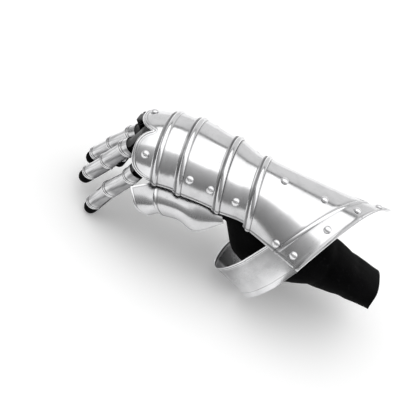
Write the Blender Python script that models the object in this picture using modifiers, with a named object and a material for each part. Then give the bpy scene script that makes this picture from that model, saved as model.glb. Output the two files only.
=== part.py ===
"""Right-hand plate gauntlet: steel cuff, hand lames, finger and thumb plates over a leather glove.

The model is built in the hand's own frame: +X runs to the elbow, +Z out of the back of the
hand and -Y to the thumb side. The origin's height is that of the forearm's middle. At the end
the whole gauntlet is tipped about Y and lowered until it rests on the plane z = 0, with its
bounding box centred over the origin.
"""
import math

import bmesh
import bpy
import numpy as np
from mathutils import Matrix, Vector

MM = 0.001

# Sheet, leather and clearances
PLATE = 1.2 * MM              # steel sheet
LEATHER = 1.6 * MM            # glove leather
STRAP = 1.2 * MM              # leather straps under the knuckle plate
FINGER_SHEET = 1.0 * MM       # finger and thumb plates
GAP = 0.3 * MM                # clearance between neighbouring pieces
LAP = PLATE + 2 * GAP         # how far a plate's front edge stands off to cover the next plate
SEAM_GAP = 1.0 * MM           # between the cuff plate and the inner plate, along the seam
TUCK = 7.0 * MM               # length of a plate that lies under its neighbour

# Hand plates: half-elliptical arches between four raised ridges
HAND_HALF_WIDTH = 50.0 * MM
HAND_ARCH_HEIGHT = 45.0 * MM
HAND_EDGE_Z = 50.0 * MM       # height of the plates' lower edges at the knuckles
KNUCKLE_X = -6.5 * MM         # first ridge
HAND_PLATES_LENGTH = 114.5 * MM   # first ridge to the wrist ridge
HAND_LEAN = 0.22                  # how far the arch leans to the fingers, of its rise
RIDGE_SHARES = (0.0, 0.25, 0.66, 1.0)
RIDGE_WIDTH = 8.2 * MM
RIDGE_HEIGHT = 2.4 * MM
LOBE_REACH = 31.0 * MM        # knuckle plate in front of the first ridge

# Cuff
CUFF_SEAM_LENGTH = 75.0 * MM      # wrist ridge to the rim, along the thumb-side seam
CUFF_FAR_LENGTH = 61.0 * MM       # the same along the far seam
CUFF_POINT_LENGTH = 152.0 * MM    # wrist ridge to the rim's point
MOUTH_RADIUS = 78.0 * MM
MOUTH_Z = -2.0 * MM
CUFF_START_ANGLES = (-4.0, 190.0)     # degrees about the arm, 0 at the thumb side, 90 on top
CUFF_MOUTH_ANGLES = (26.0, 214.0)
CUFF_POINT_ANGLE = 131.0
RIM_BAND = 32.0 * MM              # embossed line to the rim
LIP = 3.2 * MM                    # turned-out edge of the rim

# Inner cuff plate, which closes the underside
INNER_SEAM_START = 0.43           # share of the seam where its front edge begins
INNER_FRONT_X = 93.0 * MM         # foremost point of its front edge
INNER_REAR_X = 137.0 * MM         # foremost point of its rim
INNER_LOW_ANGLE = -70.0           # where both lie, in degrees about the arm
INNER_HALF_WIDTH = 66.0 * MM      # front edge, half width
INNER_HALF_HEIGHT = 62.0 * MM
INNER_FRONT_Z = 2.0 * MM          # middle of the front edge's section
FOOT_SHARE = 0.94                 # how far down the flat foot lies, of the round section
FOOT_SLOPE = 0.13                 # fall of the foot along the arm

# Glove
GLOVE_LENGTH = 296.0 * MM         # front of the palm to the end of the leather cuff
GLOVE_FRONT_X = -16.0 * MM
HAND_SPACE = 5.0 * MM             # between the palm and the plates at each side
PALM_HALF_WIDTH = HAND_HALF_WIDTH - HAND_SPACE
FINGER_ROOT_DEPTH = 30.0 * MM     # how far back in the palm the fingers are joined to it
PALM_HALF_THICKNESS = 19.0 * MM
PALM_Z = 62.0 * MM
GLOVE_DROP = 80.0 * MM            # how far the leather cuff's end hangs below the palm

# Fingers and thumb
FINGER_SEAT = 0.6 * MM            # glove to plate
BEAD_WIDTH = 3.0 * MM
BEAD_HEIGHT = 0.8 * MM
FINGER_LAP = FINGER_SHEET + GAP   # how far a finger plate's front stands off to cover the next
FINGER_SPACE = 0.8 * MM           # between the plates of neighbouring fingers
FINGER_SIDE = 0.287               # the middle fingers' place, as a share of the palm's half width
FINGER_RADIUS = (FINGER_SIDE * PALM_HALF_WIDTH - 0.5 * FINGER_SPACE
                 - FINGER_SEAT - FINGER_LAP - FINGER_SHEET - BEAD_HEIGHT)
THUMB_RADIUS = 13.5 * MM
THUMB_ROOT = (14.0 * MM, 16.0 * MM, 6.0 * MM)   # from the thumb's first point to its place in the palm
PLATE_WRAP = 120.0                # degrees each side of a finger plate's middle
CORNER_SHARE = 0.9                # how far a finger plate's front corners are rounded back, of its radius
CORNER_FADE = 24.0 * MM           # and the length over which that dies away
STRAP_WRAP = 56.0                 # the same for the straps
STRAP_GAP = 0.8 * MM              # under the knuckle plate
STRAP_SHOW = 6.5 * MM             # strap that shows in front of the knuckle plate
STRAP_TURN = 0.062                # half width of a strap on the arch, as a share of its turn
STRAP_STATIONS = (-0.12, 0.35, 0.7, 1.0)   # under the knuckle plate, as shares of its reach
STRAP_SPREAD = 0.30               # turn from the middle for a finger at the palm's side
TIP_LENGTH = 15.0 * MM            # leather beyond the last finger plate

RIVET_RADIUS = 4.7 * MM
RIVET_HEIGHT = 3.2 * MM
RIVET_FOOT = 4.55 * MM            # radius of a head's flat underside
RIVET_ANGLES = (58.0, 22.0)       # rings of a head's dome, in degrees above its foot

ARCH_COLUMNS = 17
CUFF_COLUMNS = 25
FINGER_COLUMNS = 9
RIVET_SIDES = 8
PALM_SIDES = 18
DIGIT_SIDES = 10
THUMB_STATIONS = (0.0, 0.15, 0.33, 0.6, 1.0)    # shares of a thumb plate's length

# Hand arch sections: share of the hand plates' length, then half width, height and edge height
# as shares of their named sizes.
ARCH_SECTIONS = (
    (-0.34, 0.90, 0.66, 0.98),
    (-0.16, 0.97, 0.86, 1.00),
    (0.00, 1.00, 0.96, 1.02),
    (0.26, 1.04, 1.03, 1.07),
    (0.67, 1.00, 1.05, 1.00),
    (1.00, 0.90, 1.00, 0.88),
    (1.08, 0.91, 0.98, 0.865),
)

# Knuckle plate lobes: turn of the middle, how far the lobe runs outwards and inwards, and its
# share of the full reach.
KNUCKLE_LOBES = ((0.20, 0.20, 0.21, 0.80), (0.66, 0.34, 0.27, 1.00))

# Rivets on the knuckle plate: side, turn and share of the lobes' reach.
KNUCKLE_RIVETS = (("near", 0.205, 0.33), ("far", 0.63, 0.70))

# Rivets on the lames, one at each side: name, lame, turn and share of the hand plates' length.
LAME_RIVETS = (("front", 1, 0.145, 0.395), ("rear", 1, 0.14, 0.615), ("wrist", 2, 0.14, 0.88))

# Rivets on the cuff: turns and places along it, in metres or as shares of its length there.
LINE_RIVETS = ((0.42, 33.0 * MM), (0.385, 83.0 * MM))
SEAM_RIVETS = (0.52, 0.80)
SEAM_RIVET_TURN = 0.045
RIM_RIVET_TURNS = (0.22, 0.39, 0.56, 0.73, 0.88)

# Glove sections: share of the length, height drop, half width, half thickness, twist in degrees.
GLOVE_SECTIONS = (
    (0.000, 0.03, 0.62, 0.45, 0),
    (0.025, 0.01, 0.90, 0.78, 0),
    (0.070, 0.00, 0.98, 0.90, 0),
    (0.170, 0.00, 1.00, 1.00, 0),
    (0.310, 0.11, 0.84, 1.28, 0),
    (0.425, 0.54, 0.98, 2.72, -4),
    (0.570, 0.77, 1.08, 2.58, -12),
    (0.730, 0.84, 1.02, 1.70, -24),
    (0.880, 0.93, 1.06, 1.15, -27),
    (1.000, 1.00, 1.11, 0.88, -27),
)

# Fingers: name, side position as a share of the palm's half width, radius share, root x and z in
# hand half widths, bare strap before the first plate and plate lengths in finger radii, and the
# pitch below horizontal of each plate in degrees.
FINGERS = (
    ("index", -3 * FINGER_SIDE, 1.00, -0.44, 1.03, 0.60, (2.55, 4.35, 3.95), (68, 59, 66)),
    ("middle", -FINGER_SIDE, 1.00, -0.76, 1.16, 0.80, (2.20, 3.95, 3.85), (51, 62, 58)),
    ("ring", FINGER_SIDE, 1.00, -0.72, 1.20, 1.20, (2.75, 3.60, 3.50), (46, 56, 56)),
    ("little", 2.86 * FINGER_SIDE, 0.88, -0.60, 1.06, 2.00, (3.60, 2.80, 2.60), (60, 68, 74)),
)

# Thumb axis: share of the hand plates' length, side and height in hand half widths.
THUMB_AXIS = ((0.784, -0.54, 0.72), (0.466, -0.82, 0.68), (0.164, -0.96, 0.60),
              (0.009, -1.13, 0.50), (-0.070, -1.21, 0.41))

# Thumb plates, in hand half widths: share along the plate, lower edge x, y and z, upper edge x, y
# and z, and how far the plate bulges out from the line between them.
THUMB_TIP = (
    (0.0, -0.10, -1.35, 0.26, -0.48, -1.24, 0.84, 0.22),
    (0.3, 0.10, -1.31, 0.31, -0.27, -1.11, 0.91, 0.22),
    (0.6, 0.28, -1.20, 0.37, -0.08, -0.97, 0.94, 0.20),
    (1.0, 0.50, -1.15, 0.43, 0.16, -0.90, 0.94, 0.20),
)
THUMB_BASE = (
    (0.0, 0.34, -1.18, 0.34, 0.00, -0.92, 0.98, 0.28),
    (0.35, 0.76, -1.22, 0.46, 0.52, -0.91, 1.00, 0.23),
    (0.62, 1.14, -1.22, 0.32, 1.00, -0.91, 0.97, 0.16),
    (1.0, 1.74, -1.04, 0.74, 1.60, -0.91, 0.86, 0.03),
)
THUMB_TIP_ROUND = 0.30            # how far the lower front corner is rounded back, of the plate
THUMB_BASE_ROUND = 0.04


def smooth_row(table, place):
    """Values of a table at a place in its first column, eased by a monotone cubic."""
    keys = [row[0] for row in table]
    place = min(max(place, keys[0]), keys[-1])
    index = max(i for i, key in enumerate(keys[:-1]) if key <= place)
    span = keys[index + 1] - keys[index]
    share = (place - keys[index]) / span
    values = []
    for column in range(1, len(table[0])):
        data = [row[column] for row in table]
        slope = [(data[i + 1] - data[i]) / (keys[i + 1] - keys[i]) for i in range(len(keys) - 1)]
        ends = []
        for i in (index, index + 1):
            before = slope[max(i - 1, 0)]
            after = slope[min(i, len(slope) - 1)]
            ends.append(2 * before * after / (before + after) if before * after > 0 else 0.0)
        h00 = 2 * share ** 3 - 3 * share ** 2 + 1
        h10 = share ** 3 - 2 * share ** 2 + share
        h01 = 3 * share ** 2 - 2 * share ** 3
        h11 = share ** 3 - share ** 2
        values.append(h00 * data[index] + h01 * data[index + 1]
                      + span * (h10 * ends[0] + h11 * ends[1]))
    return values


def hand_shell(x, turn, offset=0.0):
    """Point on the hand's arch; turn runs from 0 at the thumb-side edge to 1 at the far edge."""
    width, height, edge = smooth_row(ARCH_SECTIONS, (x - KNUCKLE_X) / HAND_PLATES_LENGTH)
    half = HAND_HALF_WIDTH * width
    rise = HAND_ARCH_HEIGHT * height
    angle = math.pi * turn
    normal = Vector((0.0, -rise * math.cos(angle), half * math.sin(angle))).normalized()
    up = rise * math.sin(angle)
    point = Vector((x - HAND_LEAN * up, -half * math.cos(angle), HAND_EDGE_Z * edge + up))
    return point + normal * offset


def ridge_x(index):
    return KNUCKLE_X + HAND_PLATES_LENGTH * RIDGE_SHARES[index]


def mouth_x(angle):
    """Distance of the rim along the arm at an angle in degrees."""
    near = angle < CUFF_POINT_ANGLE
    reach = abs(CUFF_MOUTH_ANGLES[0 if near else 1] - CUFF_POINT_ANGLE)
    low = CUFF_SEAM_LENGTH if near else CUFF_FAR_LENGTH
    share = max(0.0, 1.0 - abs(angle - CUFF_POINT_ANGLE) / reach)
    return ridge_x(3) + low + (CUFF_POINT_LENGTH - low) * share ** 1.1


def round_point(x, radius, centre_z, angle):
    turn = math.radians(angle)
    return Vector((x, -radius * math.cos(turn), centre_z + radius * math.sin(turn)))


def cuff_line(turn):
    """Ends of the straight line on the cuff at a turn from 0, the thumb-side seam, to 1."""
    start = CUFF_START_ANGLES[0] + turn * (CUFF_START_ANGLES[1] - CUFF_START_ANGLES[0])
    end = CUFF_MOUTH_ANGLES[0] + turn * (CUFF_MOUTH_ANGLES[1] - CUFF_MOUTH_ANGLES[0])
    wrist = hand_shell(ridge_x(3), start / 180.0, LAP + GAP)
    return wrist, round_point(mouth_x(end), MOUTH_RADIUS, MOUTH_Z, end)


def cuff_shell(turn, along, offset=0.0):
    """Point on the cuff: along is in metres from the wrist ridge, on a straight line."""
    first, last = cuff_line(turn)
    low, high = max(turn - 0.01, 0.0), min(turn + 0.01, 1.0)
    low_line, high_line = cuff_line(low), cuff_line(high)
    share = along / (last - first).length
    across = high_line[0].lerp(high_line[1], share) - low_line[0].lerp(low_line[1], share)
    normal = across.cross(last - first).normalized()
    return first + (last - first) * share - normal * offset


def cuff_length(turn):
    first, last = cuff_line(turn)
    return (last - first).length


def new_material(name, colour, metallic, roughness):
    material = bpy.data.materials.new(name)
    material.use_nodes = True
    shader = material.node_tree.nodes["Principled BSDF"]
    shader.inputs["Base Color"].default_value = (*colour, 1.0)
    shader.inputs["Metallic"].default_value = metallic
    shader.inputs["Roughness"].default_value = roughness
    return material


def add_object(name, mesh, material):
    piece = bpy.data.objects.new(name, mesh)
    parts.objects.link(piece)
    mesh.materials.append(material)
    piece.parent = stand
    return piece


def grid_mesh(name, rows, closed=False):
    """Open sheet through rows of points; closed joins each row's ends."""
    bm = bmesh.new()
    lines = [[bm.verts.new(point) for point in row] for row in rows]
    for near, far in zip(lines, lines[1:]):
        count = len(near)
        for i in range(count if closed else count - 1):
            j = (i + 1) % count
            bm.faces.new((near[i], far[i], far[j], near[j]))
    if closed:
        bm.faces.new(lines[0])
        bm.faces.new(list(reversed(lines[-1])))
    for face in bm.faces:
        face.smooth = True
    mesh = bpy.data.meshes.new(name)
    bm.to_mesh(mesh)
    bm.free()
    return mesh


def sheet(name, rows, thickness, side, material):
    """Plate of even thickness on a sheet; side is 1 to grow along its normals, -1 against."""
    mesh = grid_mesh(name, rows)
    mesh.set_sharp_from_angle(angle=math.radians(40))
    piece = add_object(name, mesh, material)
    solid = piece.modifiers.new("thickness", "SOLIDIFY")
    solid.thickness = thickness
    solid.offset = side
    solid.use_even_offset = True
    return piece


def ridge_profile(height, width):
    """Distance behind the edge and height of a ridge: a slanted flank in front of a round bead."""
    shares = ((0.0, 0.0), (0.45, 0.38), (0.56, 0.82), (0.71, 1.0), (0.87, 0.75), (1.0, 0.0))
    return [(back * width, rise * height) for back, rise in shares]


def lame_step(index):
    """Where a lame starts to come down onto the hand's arch, and where it is down."""
    front, rear = ridge_x(index), ridge_x(index + 1) + TUCK
    return front + RIDGE_WIDTH + 1.5 * MM, front + 0.62 * (rear - front)


def lame_offset(index, x):
    """Stand-off of a lame: full over its neighbour, then none."""
    full, none = lame_step(index)
    return LAP * min(max((none - x) / (none - full), 0.0), 1.0)


def build_lames():
    turns = [i / (ARCH_COLUMNS - 1) for i in range(ARCH_COLUMNS)]
    for index, name in enumerate(("knuckle_lame", "hand_lame", "wrist_lame")):
        front, rear = ridge_x(index), ridge_x(index + 1) + TUCK
        ridge = ridge_profile(RIDGE_HEIGHT, RIDGE_WIDTH)
        stations = [(front + step, LAP + rise) for step, rise in ridge]
        stations += [(x, lame_offset(index, x)) for x in (*lame_step(index), rear)]
        rows = [[hand_shell(x, turn, offset) for turn in turns] for x, offset in stations]
        sheet(name, rows, PLATE, 1, steel)


def lobe_reach(turn):
    """Reach of the scalloped knuckle plate in front of the first ridge."""
    reach = 0.0
    for centre, outer, inner, full in KNUCKLE_LOBES:
        outward = (turn < centre) == (centre < 0.5)
        share = abs(turn - centre) / (outer if outward else inner)
        reach = max(reach, full * LOBE_REACH * math.sqrt(max(0.0, 1.0 - share ** 3)))
    return reach


def build_knuckle_plate():
    columns = 2 * ARCH_COLUMNS - 1
    turns = [i / (columns - 1) for i in range(columns)]
    rows = []
    for share in (1.0, 0.86, 0.5, 0.0):
        rows.append([hand_shell(ridge_x(0) - share * lobe_reach(turn), turn) for turn in turns])
    rows.append([hand_shell(ridge_x(0) + TUCK, turn) for turn in turns])
    sheet("knuckle_plate", rows, PLATE, 1, steel)


def build_cuff():
    turns = [i / (CUFF_COLUMNS - 1) for i in range(CUFF_COLUMNS)]
    front = ridge_profile(RIDGE_HEIGHT, RIDGE_WIDTH)
    band = [(RIM_BAND + (0.5 - share) * BEAD_WIDTH * 1.4, rise)
            for share, rise in ((0.0, 0.0), (0.5, BEAD_HEIGHT * 1.5), (1.0, 0.0))]
    edge = [(2.2 * LIP, 0.0), (LIP, 0.25 * LIP), (0.0, LIP)]
    rows = [[cuff_shell(turn, step, rise) for turn in turns] for step, rise in front]
    for back, rise in band + edge:
        rows.append([cuff_shell(turn, cuff_length(turn) - back, rise) for turn in turns])
    sheet("cuff_plate", rows, PLATE, 1, steel)


def inner_ring_point(share, angle, rise):
    """Free part of the inner cuff plate; share is 0 at its front edge and 1 at its rim."""
    turn = math.radians(angle)
    half = INNER_HALF_WIDTH + share * (MOUTH_RADIUS - INNER_HALF_WIDTH) + rise
    height = INNER_HALF_HEIGHT + share * (MOUTH_RADIUS - INNER_HALF_HEIGHT) + rise
    centre = INNER_FRONT_Z + share * (MOUTH_Z - INNER_FRONT_Z)
    x_low = INNER_FRONT_X + share * (INNER_REAR_X - INNER_FRONT_X)
    seam = cuff_shell(0.0, cuff_length(0.0) * (INNER_SEAM_START + share * (1 - INNER_SEAM_START)))
    seam_angle = math.atan2(seam.z - centre, -seam.y)
    low_angle = math.radians(INNER_LOW_ANGLE)
    swing = (1 - math.cos(turn - low_angle)) / (1 - math.cos(seam_angle - low_angle))
    x = x_low + (seam.x - x_low) * swing
    floor_z = centre - height * FOOT_SHARE - FOOT_SLOPE * (x - x_low)
    return Vector((x, -half * math.cos(turn), max(centre + height * math.sin(turn), floor_z)))


def build_inner_plate():
    foot = math.degrees(math.asin(FOOT_SHARE))
    free = (8.0, -6.0, -20.0, -34.0, -48.0, -60.0, -foot, foot - 180.0, -122.0, -134.0)
    tucked = [step / (CUFF_COLUMNS - 1) for step in (3, 2, 1, 0)]
    profile = ((0.0, 0.0), (0.05, BEAD_HEIGHT), (0.1, 0.0), (0.5, 0.0), (0.88, 0.0), (1.0, 0.7 * LIP))
    rows = []
    for share, rise in profile:
        along = INNER_SEAM_START + share * (1 - INNER_SEAM_START)
        row = [cuff_shell(turn, cuff_length(turn) * along, -SEAM_GAP) for turn in tucked]
        row += [inner_ring_point(share, angle, rise) for angle in free]
        row += [cuff_shell(1 - turn, cuff_length(1 - turn) * along, -SEAM_GAP) for turn in reversed(tucked)]
        rows.append(list(reversed(row)))
    sheet("cuff_inner_plate", rows, PLATE, -1, steel)


def digit_axis(root, lengths, pitches):
    """Axis samples of a finger: bends are eased over a finger's radius."""
    total = sum(lengths)
    bends = np.cumsum(lengths)[:-1]
    point = Vector(root)
    samples = [(0.0, point.copy())]
    step = 1.0 * MM
    along = 0.0
    while along < total + TIP_LENGTH:
        pitch = float(pitches[0])
        for i, bend in enumerate(bends):
            ease = min(max((along - bend) / (1.2 * FINGER_RADIUS) + 0.5, 0.0), 1.0)
            pitch += (pitches[i + 1] - pitches[i]) * ease * ease * (3 - 2 * ease)
        angle = math.radians(pitch)
        point = point + Vector((-math.cos(angle), 0.0, -math.sin(angle))) * step
        along += step
        samples.append((along, point.copy()))
    return samples


def spline(points, count):
    """Catmull-Rom samples through points."""
    full = [points[0] * 2 - points[1]] + list(points) + [points[-1] * 2 - points[-2]]
    samples = []
    for i in range(1, len(full) - 2):
        a, b, c, d = full[i - 1:i + 3]
        for k in range(count):
            t = k / count
            samples.append(0.5 * (2 * b + (c - a) * t + (2 * a - 5 * b + 4 * c - d) * t ** 2
                                  + (3 * b - a - 3 * c + d) * t ** 3))
    samples.append(points[-1].copy())
    return samples


class Digit:
    """A finger or thumb: an axis with its back's direction, a radius and its plates' lengths."""

    def __init__(self, samples, side, radius, bare, sizes):
        self.samples = samples
        self.side = side
        self.radius = radius
        self.bare = bare
        self.sizes = sizes
        self.bends = [float(bend) for bend in np.cumsum(sizes)[:-1]]
        self.length = samples[-1][0]

    def frame(self, along):
        keys = [sample[0] for sample in self.samples]
        i = int(min(max(np.searchsorted(keys, along) - 1, 0), len(keys) - 2))
        share = (along - keys[i]) / (keys[i + 1] - keys[i])
        point = self.samples[i][1].lerp(self.samples[i + 1][1], share)
        before = self.samples[max(i - 2, 0)][1]
        after = self.samples[min(i + 3, len(keys) - 1)][1]
        tangent = (after - before).normalized()
        back = self.side.cross(tangent).normalized()
        return point, tangent, back, tangent.cross(back)

    def surface(self, along, angle, offset=0.0):
        point, _, back, side = self.frame(along)
        turn = math.radians(angle)
        return point + (back * math.cos(turn) + side * math.sin(turn)) * (self.radius + offset)


def make_digits():
    digits = {}
    for name, side, girth, x, z, bare, lengths, pitches in FINGERS:
        root = (x * HAND_HALF_WIDTH, side * PALM_HALF_WIDTH, z * HAND_HALF_WIDTH)
        sizes = [length * FINGER_RADIUS for length in lengths]
        axis = digit_axis(root, sizes, pitches)
        digits[name] = Digit(axis, Vector((0, 1, 0)), girth * FINGER_RADIUS, bare * FINGER_RADIUS, sizes)
    points = [Vector((KNUCKLE_X + x * HAND_PLATES_LENGTH, y * HAND_HALF_WIDTH, z * HAND_HALF_WIDTH))
              for x, y, z in THUMB_AXIS]
    line = spline(points, 12)
    samples = [(0.0, line[0])]
    for before, after in zip(line, line[1:]):
        samples.append((samples[-1][0] + (after - before).length, after))
    digits["thumb"] = Digit(samples, Vector((0, 0.7, 0.7)), THUMB_RADIUS, 0.0, [])
    return digits


def finger_plate(name, digit, front, front_offset, body):
    """Half tube over a finger, with a bead behind its rounded front edge.

    body lists the rest of the plate towards the hand, as stations and their stand-offs.
    """
    angles = [PLATE_WRAP * (2 * i / (FINGER_COLUMNS - 1) - 1) for i in range(FINGER_COLUMNS)]
    profile = ((0.0, 0.0), (0.5 * BEAD_WIDTH, BEAD_HEIGHT), (BEAD_WIDTH, 0.0))
    stations = [(front - back, front_offset + rise) for back, rise in profile] + body
    corner = CORNER_SHARE * digit.radius
    rows = []
    for along, offset in stations:
        depth = corner * max(0.0, 1.0 - (front - along) / CORNER_FADE)
        rows.append([digit.surface(along - depth * abs(a / PLATE_WRAP) ** 3, a, offset) for a in angles])
    sheet(name, rows, FINGER_SHEET, 1, steel)


def build_finger_plates(digits):
    for name, digit in digits.items():
        over_strap = FINGER_SEAT + STRAP + 1.5 * GAP
        bend = 0.6 * digit.radius
        start = 0.0
        for number, size in enumerate(digit.sizes):
            front = start + size
            if number == 0:
                offset = over_strap
                body = [(digit.bare, over_strap)]
            else:
                last = number == len(digit.sizes) - 1
                offset = FINGER_SEAT + (0.5 * GAP if last else FINGER_LAP)
                body = [(front - 2.5 * BEAD_WIDTH, offset), (start + bend, FINGER_SEAT),
                        (start, FINGER_SEAT), (start - bend, FINGER_SEAT)]
            finger_plate(f"{name}_plate_{number + 1}", digit, front, offset, body)
            start = front


def thumb_surface(table, share, across, offset=0.0):
    """Point on a thumb plate; across runs from 0 at its lower edge to 1 at its upper edge."""
    row = [value * HAND_HALF_WIDTH for value in smooth_row(table, share)]
    ahead = [value * HAND_HALF_WIDTH for value in smooth_row(table, min(share + 0.02, 1.0))]
    behind = [value * HAND_HALF_WIDTH for value in smooth_row(table, max(share - 0.02, 0.0))]
    low, high, bulge = Vector(row[0:3]), Vector(row[3:6]), row[6]
    along = Vector(ahead[0:3]) + Vector(ahead[3:6]) - Vector(behind[0:3]) - Vector(behind[3:6])
    normal = along.cross(high - low).normalized()
    return low.lerp(high, across) + normal * (bulge * 4 * across * (1 - across) + offset)


def build_thumb_plates():
    across = [i / (FINGER_COLUMNS + 1) for i in range(FINGER_COLUMNS + 2)]
    for name, table, rounding in (("thumb_plate_1", THUMB_BASE, THUMB_BASE_ROUND),
                                  ("thumb_plate_2", THUMB_TIP, THUMB_TIP_ROUND)):
        starts = [rounding * max(0.0, 1 - 2 * t) ** 2 for t in across]
        rows = []
        for share in THUMB_STATIONS:
            rows.append([thumb_surface(table, s + (1 - s) * share, t) for s, t in zip(starts, across)])
        sheet(name, rows, FINGER_SHEET, 1, steel)


def tube_mesh(name, rings):
    mesh = grid_mesh(name, rings, closed=True)
    bm = bmesh.new()
    bm.from_mesh(mesh)
    bmesh.ops.recalc_face_normals(bm, faces=bm.faces)
    bm.to_mesh(mesh)
    bm.free()
    return mesh


def palm_rings(shrink, past_end=0.0):
    rings = []
    stops = (0.0, 0.012, 0.04, 0.1, 0.2, 0.31, 0.43, 0.53, 0.63, 0.73, 0.86, 1.0)
    for stop in stops:
        drop, width, thickness, twist = smooth_row(GLOVE_SECTIONS, stop)
        half = PALM_HALF_WIDTH * width - shrink
        thick = PALM_HALF_THICKNESS * thickness - shrink
        x = GLOVE_FRONT_X + stop * GLOVE_LENGTH + (shrink if stop == 0 else 0.0)
        if stop == 1.0:
            x += past_end
        turn = math.radians(twist)
        ring = []
        for i in range(PALM_SIDES):
            angle = 2 * math.pi * i / PALM_SIDES
            c, s = math.cos(angle), math.sin(angle)
            y = half * math.copysign(abs(c) ** 0.85, c)
            z = thick * math.copysign(abs(s) ** 0.85, s)
            ring.append(Vector((x, y * math.cos(turn) - z * math.sin(turn),
                                PALM_Z - GLOVE_DROP * drop + y * math.sin(turn) + z * math.cos(turn))))
        rings.append(ring)
    return rings


def digit_rings(digit, root, shrink):
    """Closed tube along a digit, from a root point inside the palm to a rounded tip."""
    rings = []
    first = digit.frame(0.0)
    radius = digit.radius - shrink
    middle = root.lerp(first[0], 0.55)
    for centre in (root, middle):
        rings.append([centre + (first[2] * math.cos(t) + first[3] * math.sin(t)) * radius
                      for t in (2 * math.pi * i / DIGIT_SIDES for i in range(DIGIT_SIDES))])
    end = digit.length - shrink
    stations = [0.0]
    for bend in digit.bends:
        stations += [bend - 0.6 * digit.radius, bend, bend + 0.6 * digit.radius]
    if not digit.bends:
        stations = [(end - radius) * i / 10 for i in range(10)]
    for along in stations + [end - radius]:
        rings.append([digit.surface(along, 360.0 * k / DIGIT_SIDES, -shrink) for k in range(DIGIT_SIDES)])
    for angle in (35.0, 65.0):
        along = end - radius + radius * math.sin(math.radians(angle))
        rim = radius * (1 - math.cos(math.radians(angle)))
        rings.append([digit.surface(along, 360.0 * k / DIGIT_SIDES, -shrink - rim)
                      for k in range(DIGIT_SIDES)])
    return rings


def boolean(target, tool, operation):
    """Apply a boolean and drop the tool."""
    change = target.modifiers.new(operation.lower(), "BOOLEAN")
    change.operation = operation
    change.object = tool
    change.solver = "EXACT"
    bpy.context.view_layer.update()
    graph = bpy.context.evaluated_depsgraph_get()
    result = bpy.data.meshes.new_from_object(target.evaluated_get(graph))
    target.modifiers.clear()
    target.data = result
    bpy.data.objects.remove(tool)


def glove_body(digits, shrink, past_end):
    """One closed solid: palm, leather cuff and five digits."""
    body = add_object("glove", tube_mesh("palm", palm_rings(shrink, past_end=past_end)), leather)
    for name, digit in digits.items():
        start = digit.frame(0.0)[0]
        inside = Vector((GLOVE_FRONT_X + FINGER_ROOT_DEPTH, start.y * 0.96, PALM_Z))
        if name == "thumb":
            inside = start + Vector(THUMB_ROOT)
        tube = add_object("digit", tube_mesh("digit", digit_rings(digit, inside, shrink)), leather)
        boolean(body, tube, "UNION")
    return body


def build_glove(digits):
    glove = glove_body(digits, 0.0, 0.0)
    hollow = glove_body(digits, LEATHER, 2 * LEATHER)
    boolean(glove, hollow, "DIFFERENCE")
    glove.name = "glove"
    for face in glove.data.polygons:
        face.use_smooth = True


def build_straps(digits):
    """Leather strap from under the knuckle plate onto each finger's back.

    The far two fingers' straps run on past the lobe before they turn down.
    """
    steps = [i / 2 - 1 for i in range(5)]
    for name, side, *_ in FINGERS:
        digit = digits[name]
        middle = 0.5 + STRAP_SPREAD * side
        turns = [middle + step * STRAP_TURN for step in steps]
        rows = []
        for share in STRAP_STATIONS[:4 if side > 0 else 3]:
            show = STRAP_SHOW if share == 1.0 else 0.0
            rows.append([hand_shell(ridge_x(0) - share * LOBE_REACH - show, turn, -STRAP_GAP)
                         for turn in turns])
        seat = FINGER_SEAT + STRAP + 0.5 * GAP
        first = min(0.25 * digit.radius, digit.bare - 0.5 * digit.radius)
        for along in (first, 0.5 * (first + digit.bare), digit.bare + 0.45 * digit.radius):
            rows.append([digit.surface(along, step * STRAP_WRAP, seat) for step in steps])
        sheet(f"{name}_strap", rows, STRAP, 1, leather)


def rivet_mesh():
    """Domed head turned about its axis, flat underneath."""
    profile = [(0.0, RIVET_HEIGHT)]
    for angle in RIVET_ANGLES:
        turn = math.radians(angle)
        profile.append((RIVET_RADIUS * math.cos(turn), RIVET_HEIGHT * math.sin(turn)))
    profile += [(RIVET_FOOT, 0.0), (0.0, 0.0)]
    bm = bmesh.new()
    verts = [bm.verts.new((radius, 0.0, z)) for radius, z in profile]
    edges = [bm.edges.new(pair) for pair in zip(verts, verts[1:])]
    bmesh.ops.spin(bm, geom=verts + edges, axis=(0, 0, 1), cent=(0, 0, 0), angle=2 * math.pi,
                   steps=RIVET_SIDES)
    bmesh.ops.remove_doubles(bm, verts=bm.verts, dist=0.01 * MM)
    bmesh.ops.recalc_face_normals(bm, faces=bm.faces)
    for face in bm.faces:
        face.smooth = True
    mesh = bpy.data.meshes.new("rivet")
    bm.to_mesh(mesh)
    bm.free()
    mesh.set_sharp_from_angle(angle=math.radians(50))
    return mesh


def place_rivet(name, mesh, surface, u, v):
    """Seat a rivet a gap above a surface given as a function of two values."""
    point = surface(u, v)
    along_u = surface(u + 1e-3, v) - point
    along_v = surface(u, v + 1e-4) - point
    normal = along_v.cross(along_u).normalized()
    rivet = bpy.data.objects.new(name, mesh)
    parts.objects.link(rivet)
    rivet.parent = stand
    turn = normal.to_track_quat("Z", "Y").to_matrix().to_4x4()
    rivet.matrix_local = Matrix.Translation(point + normal * GAP) @ turn


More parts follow.
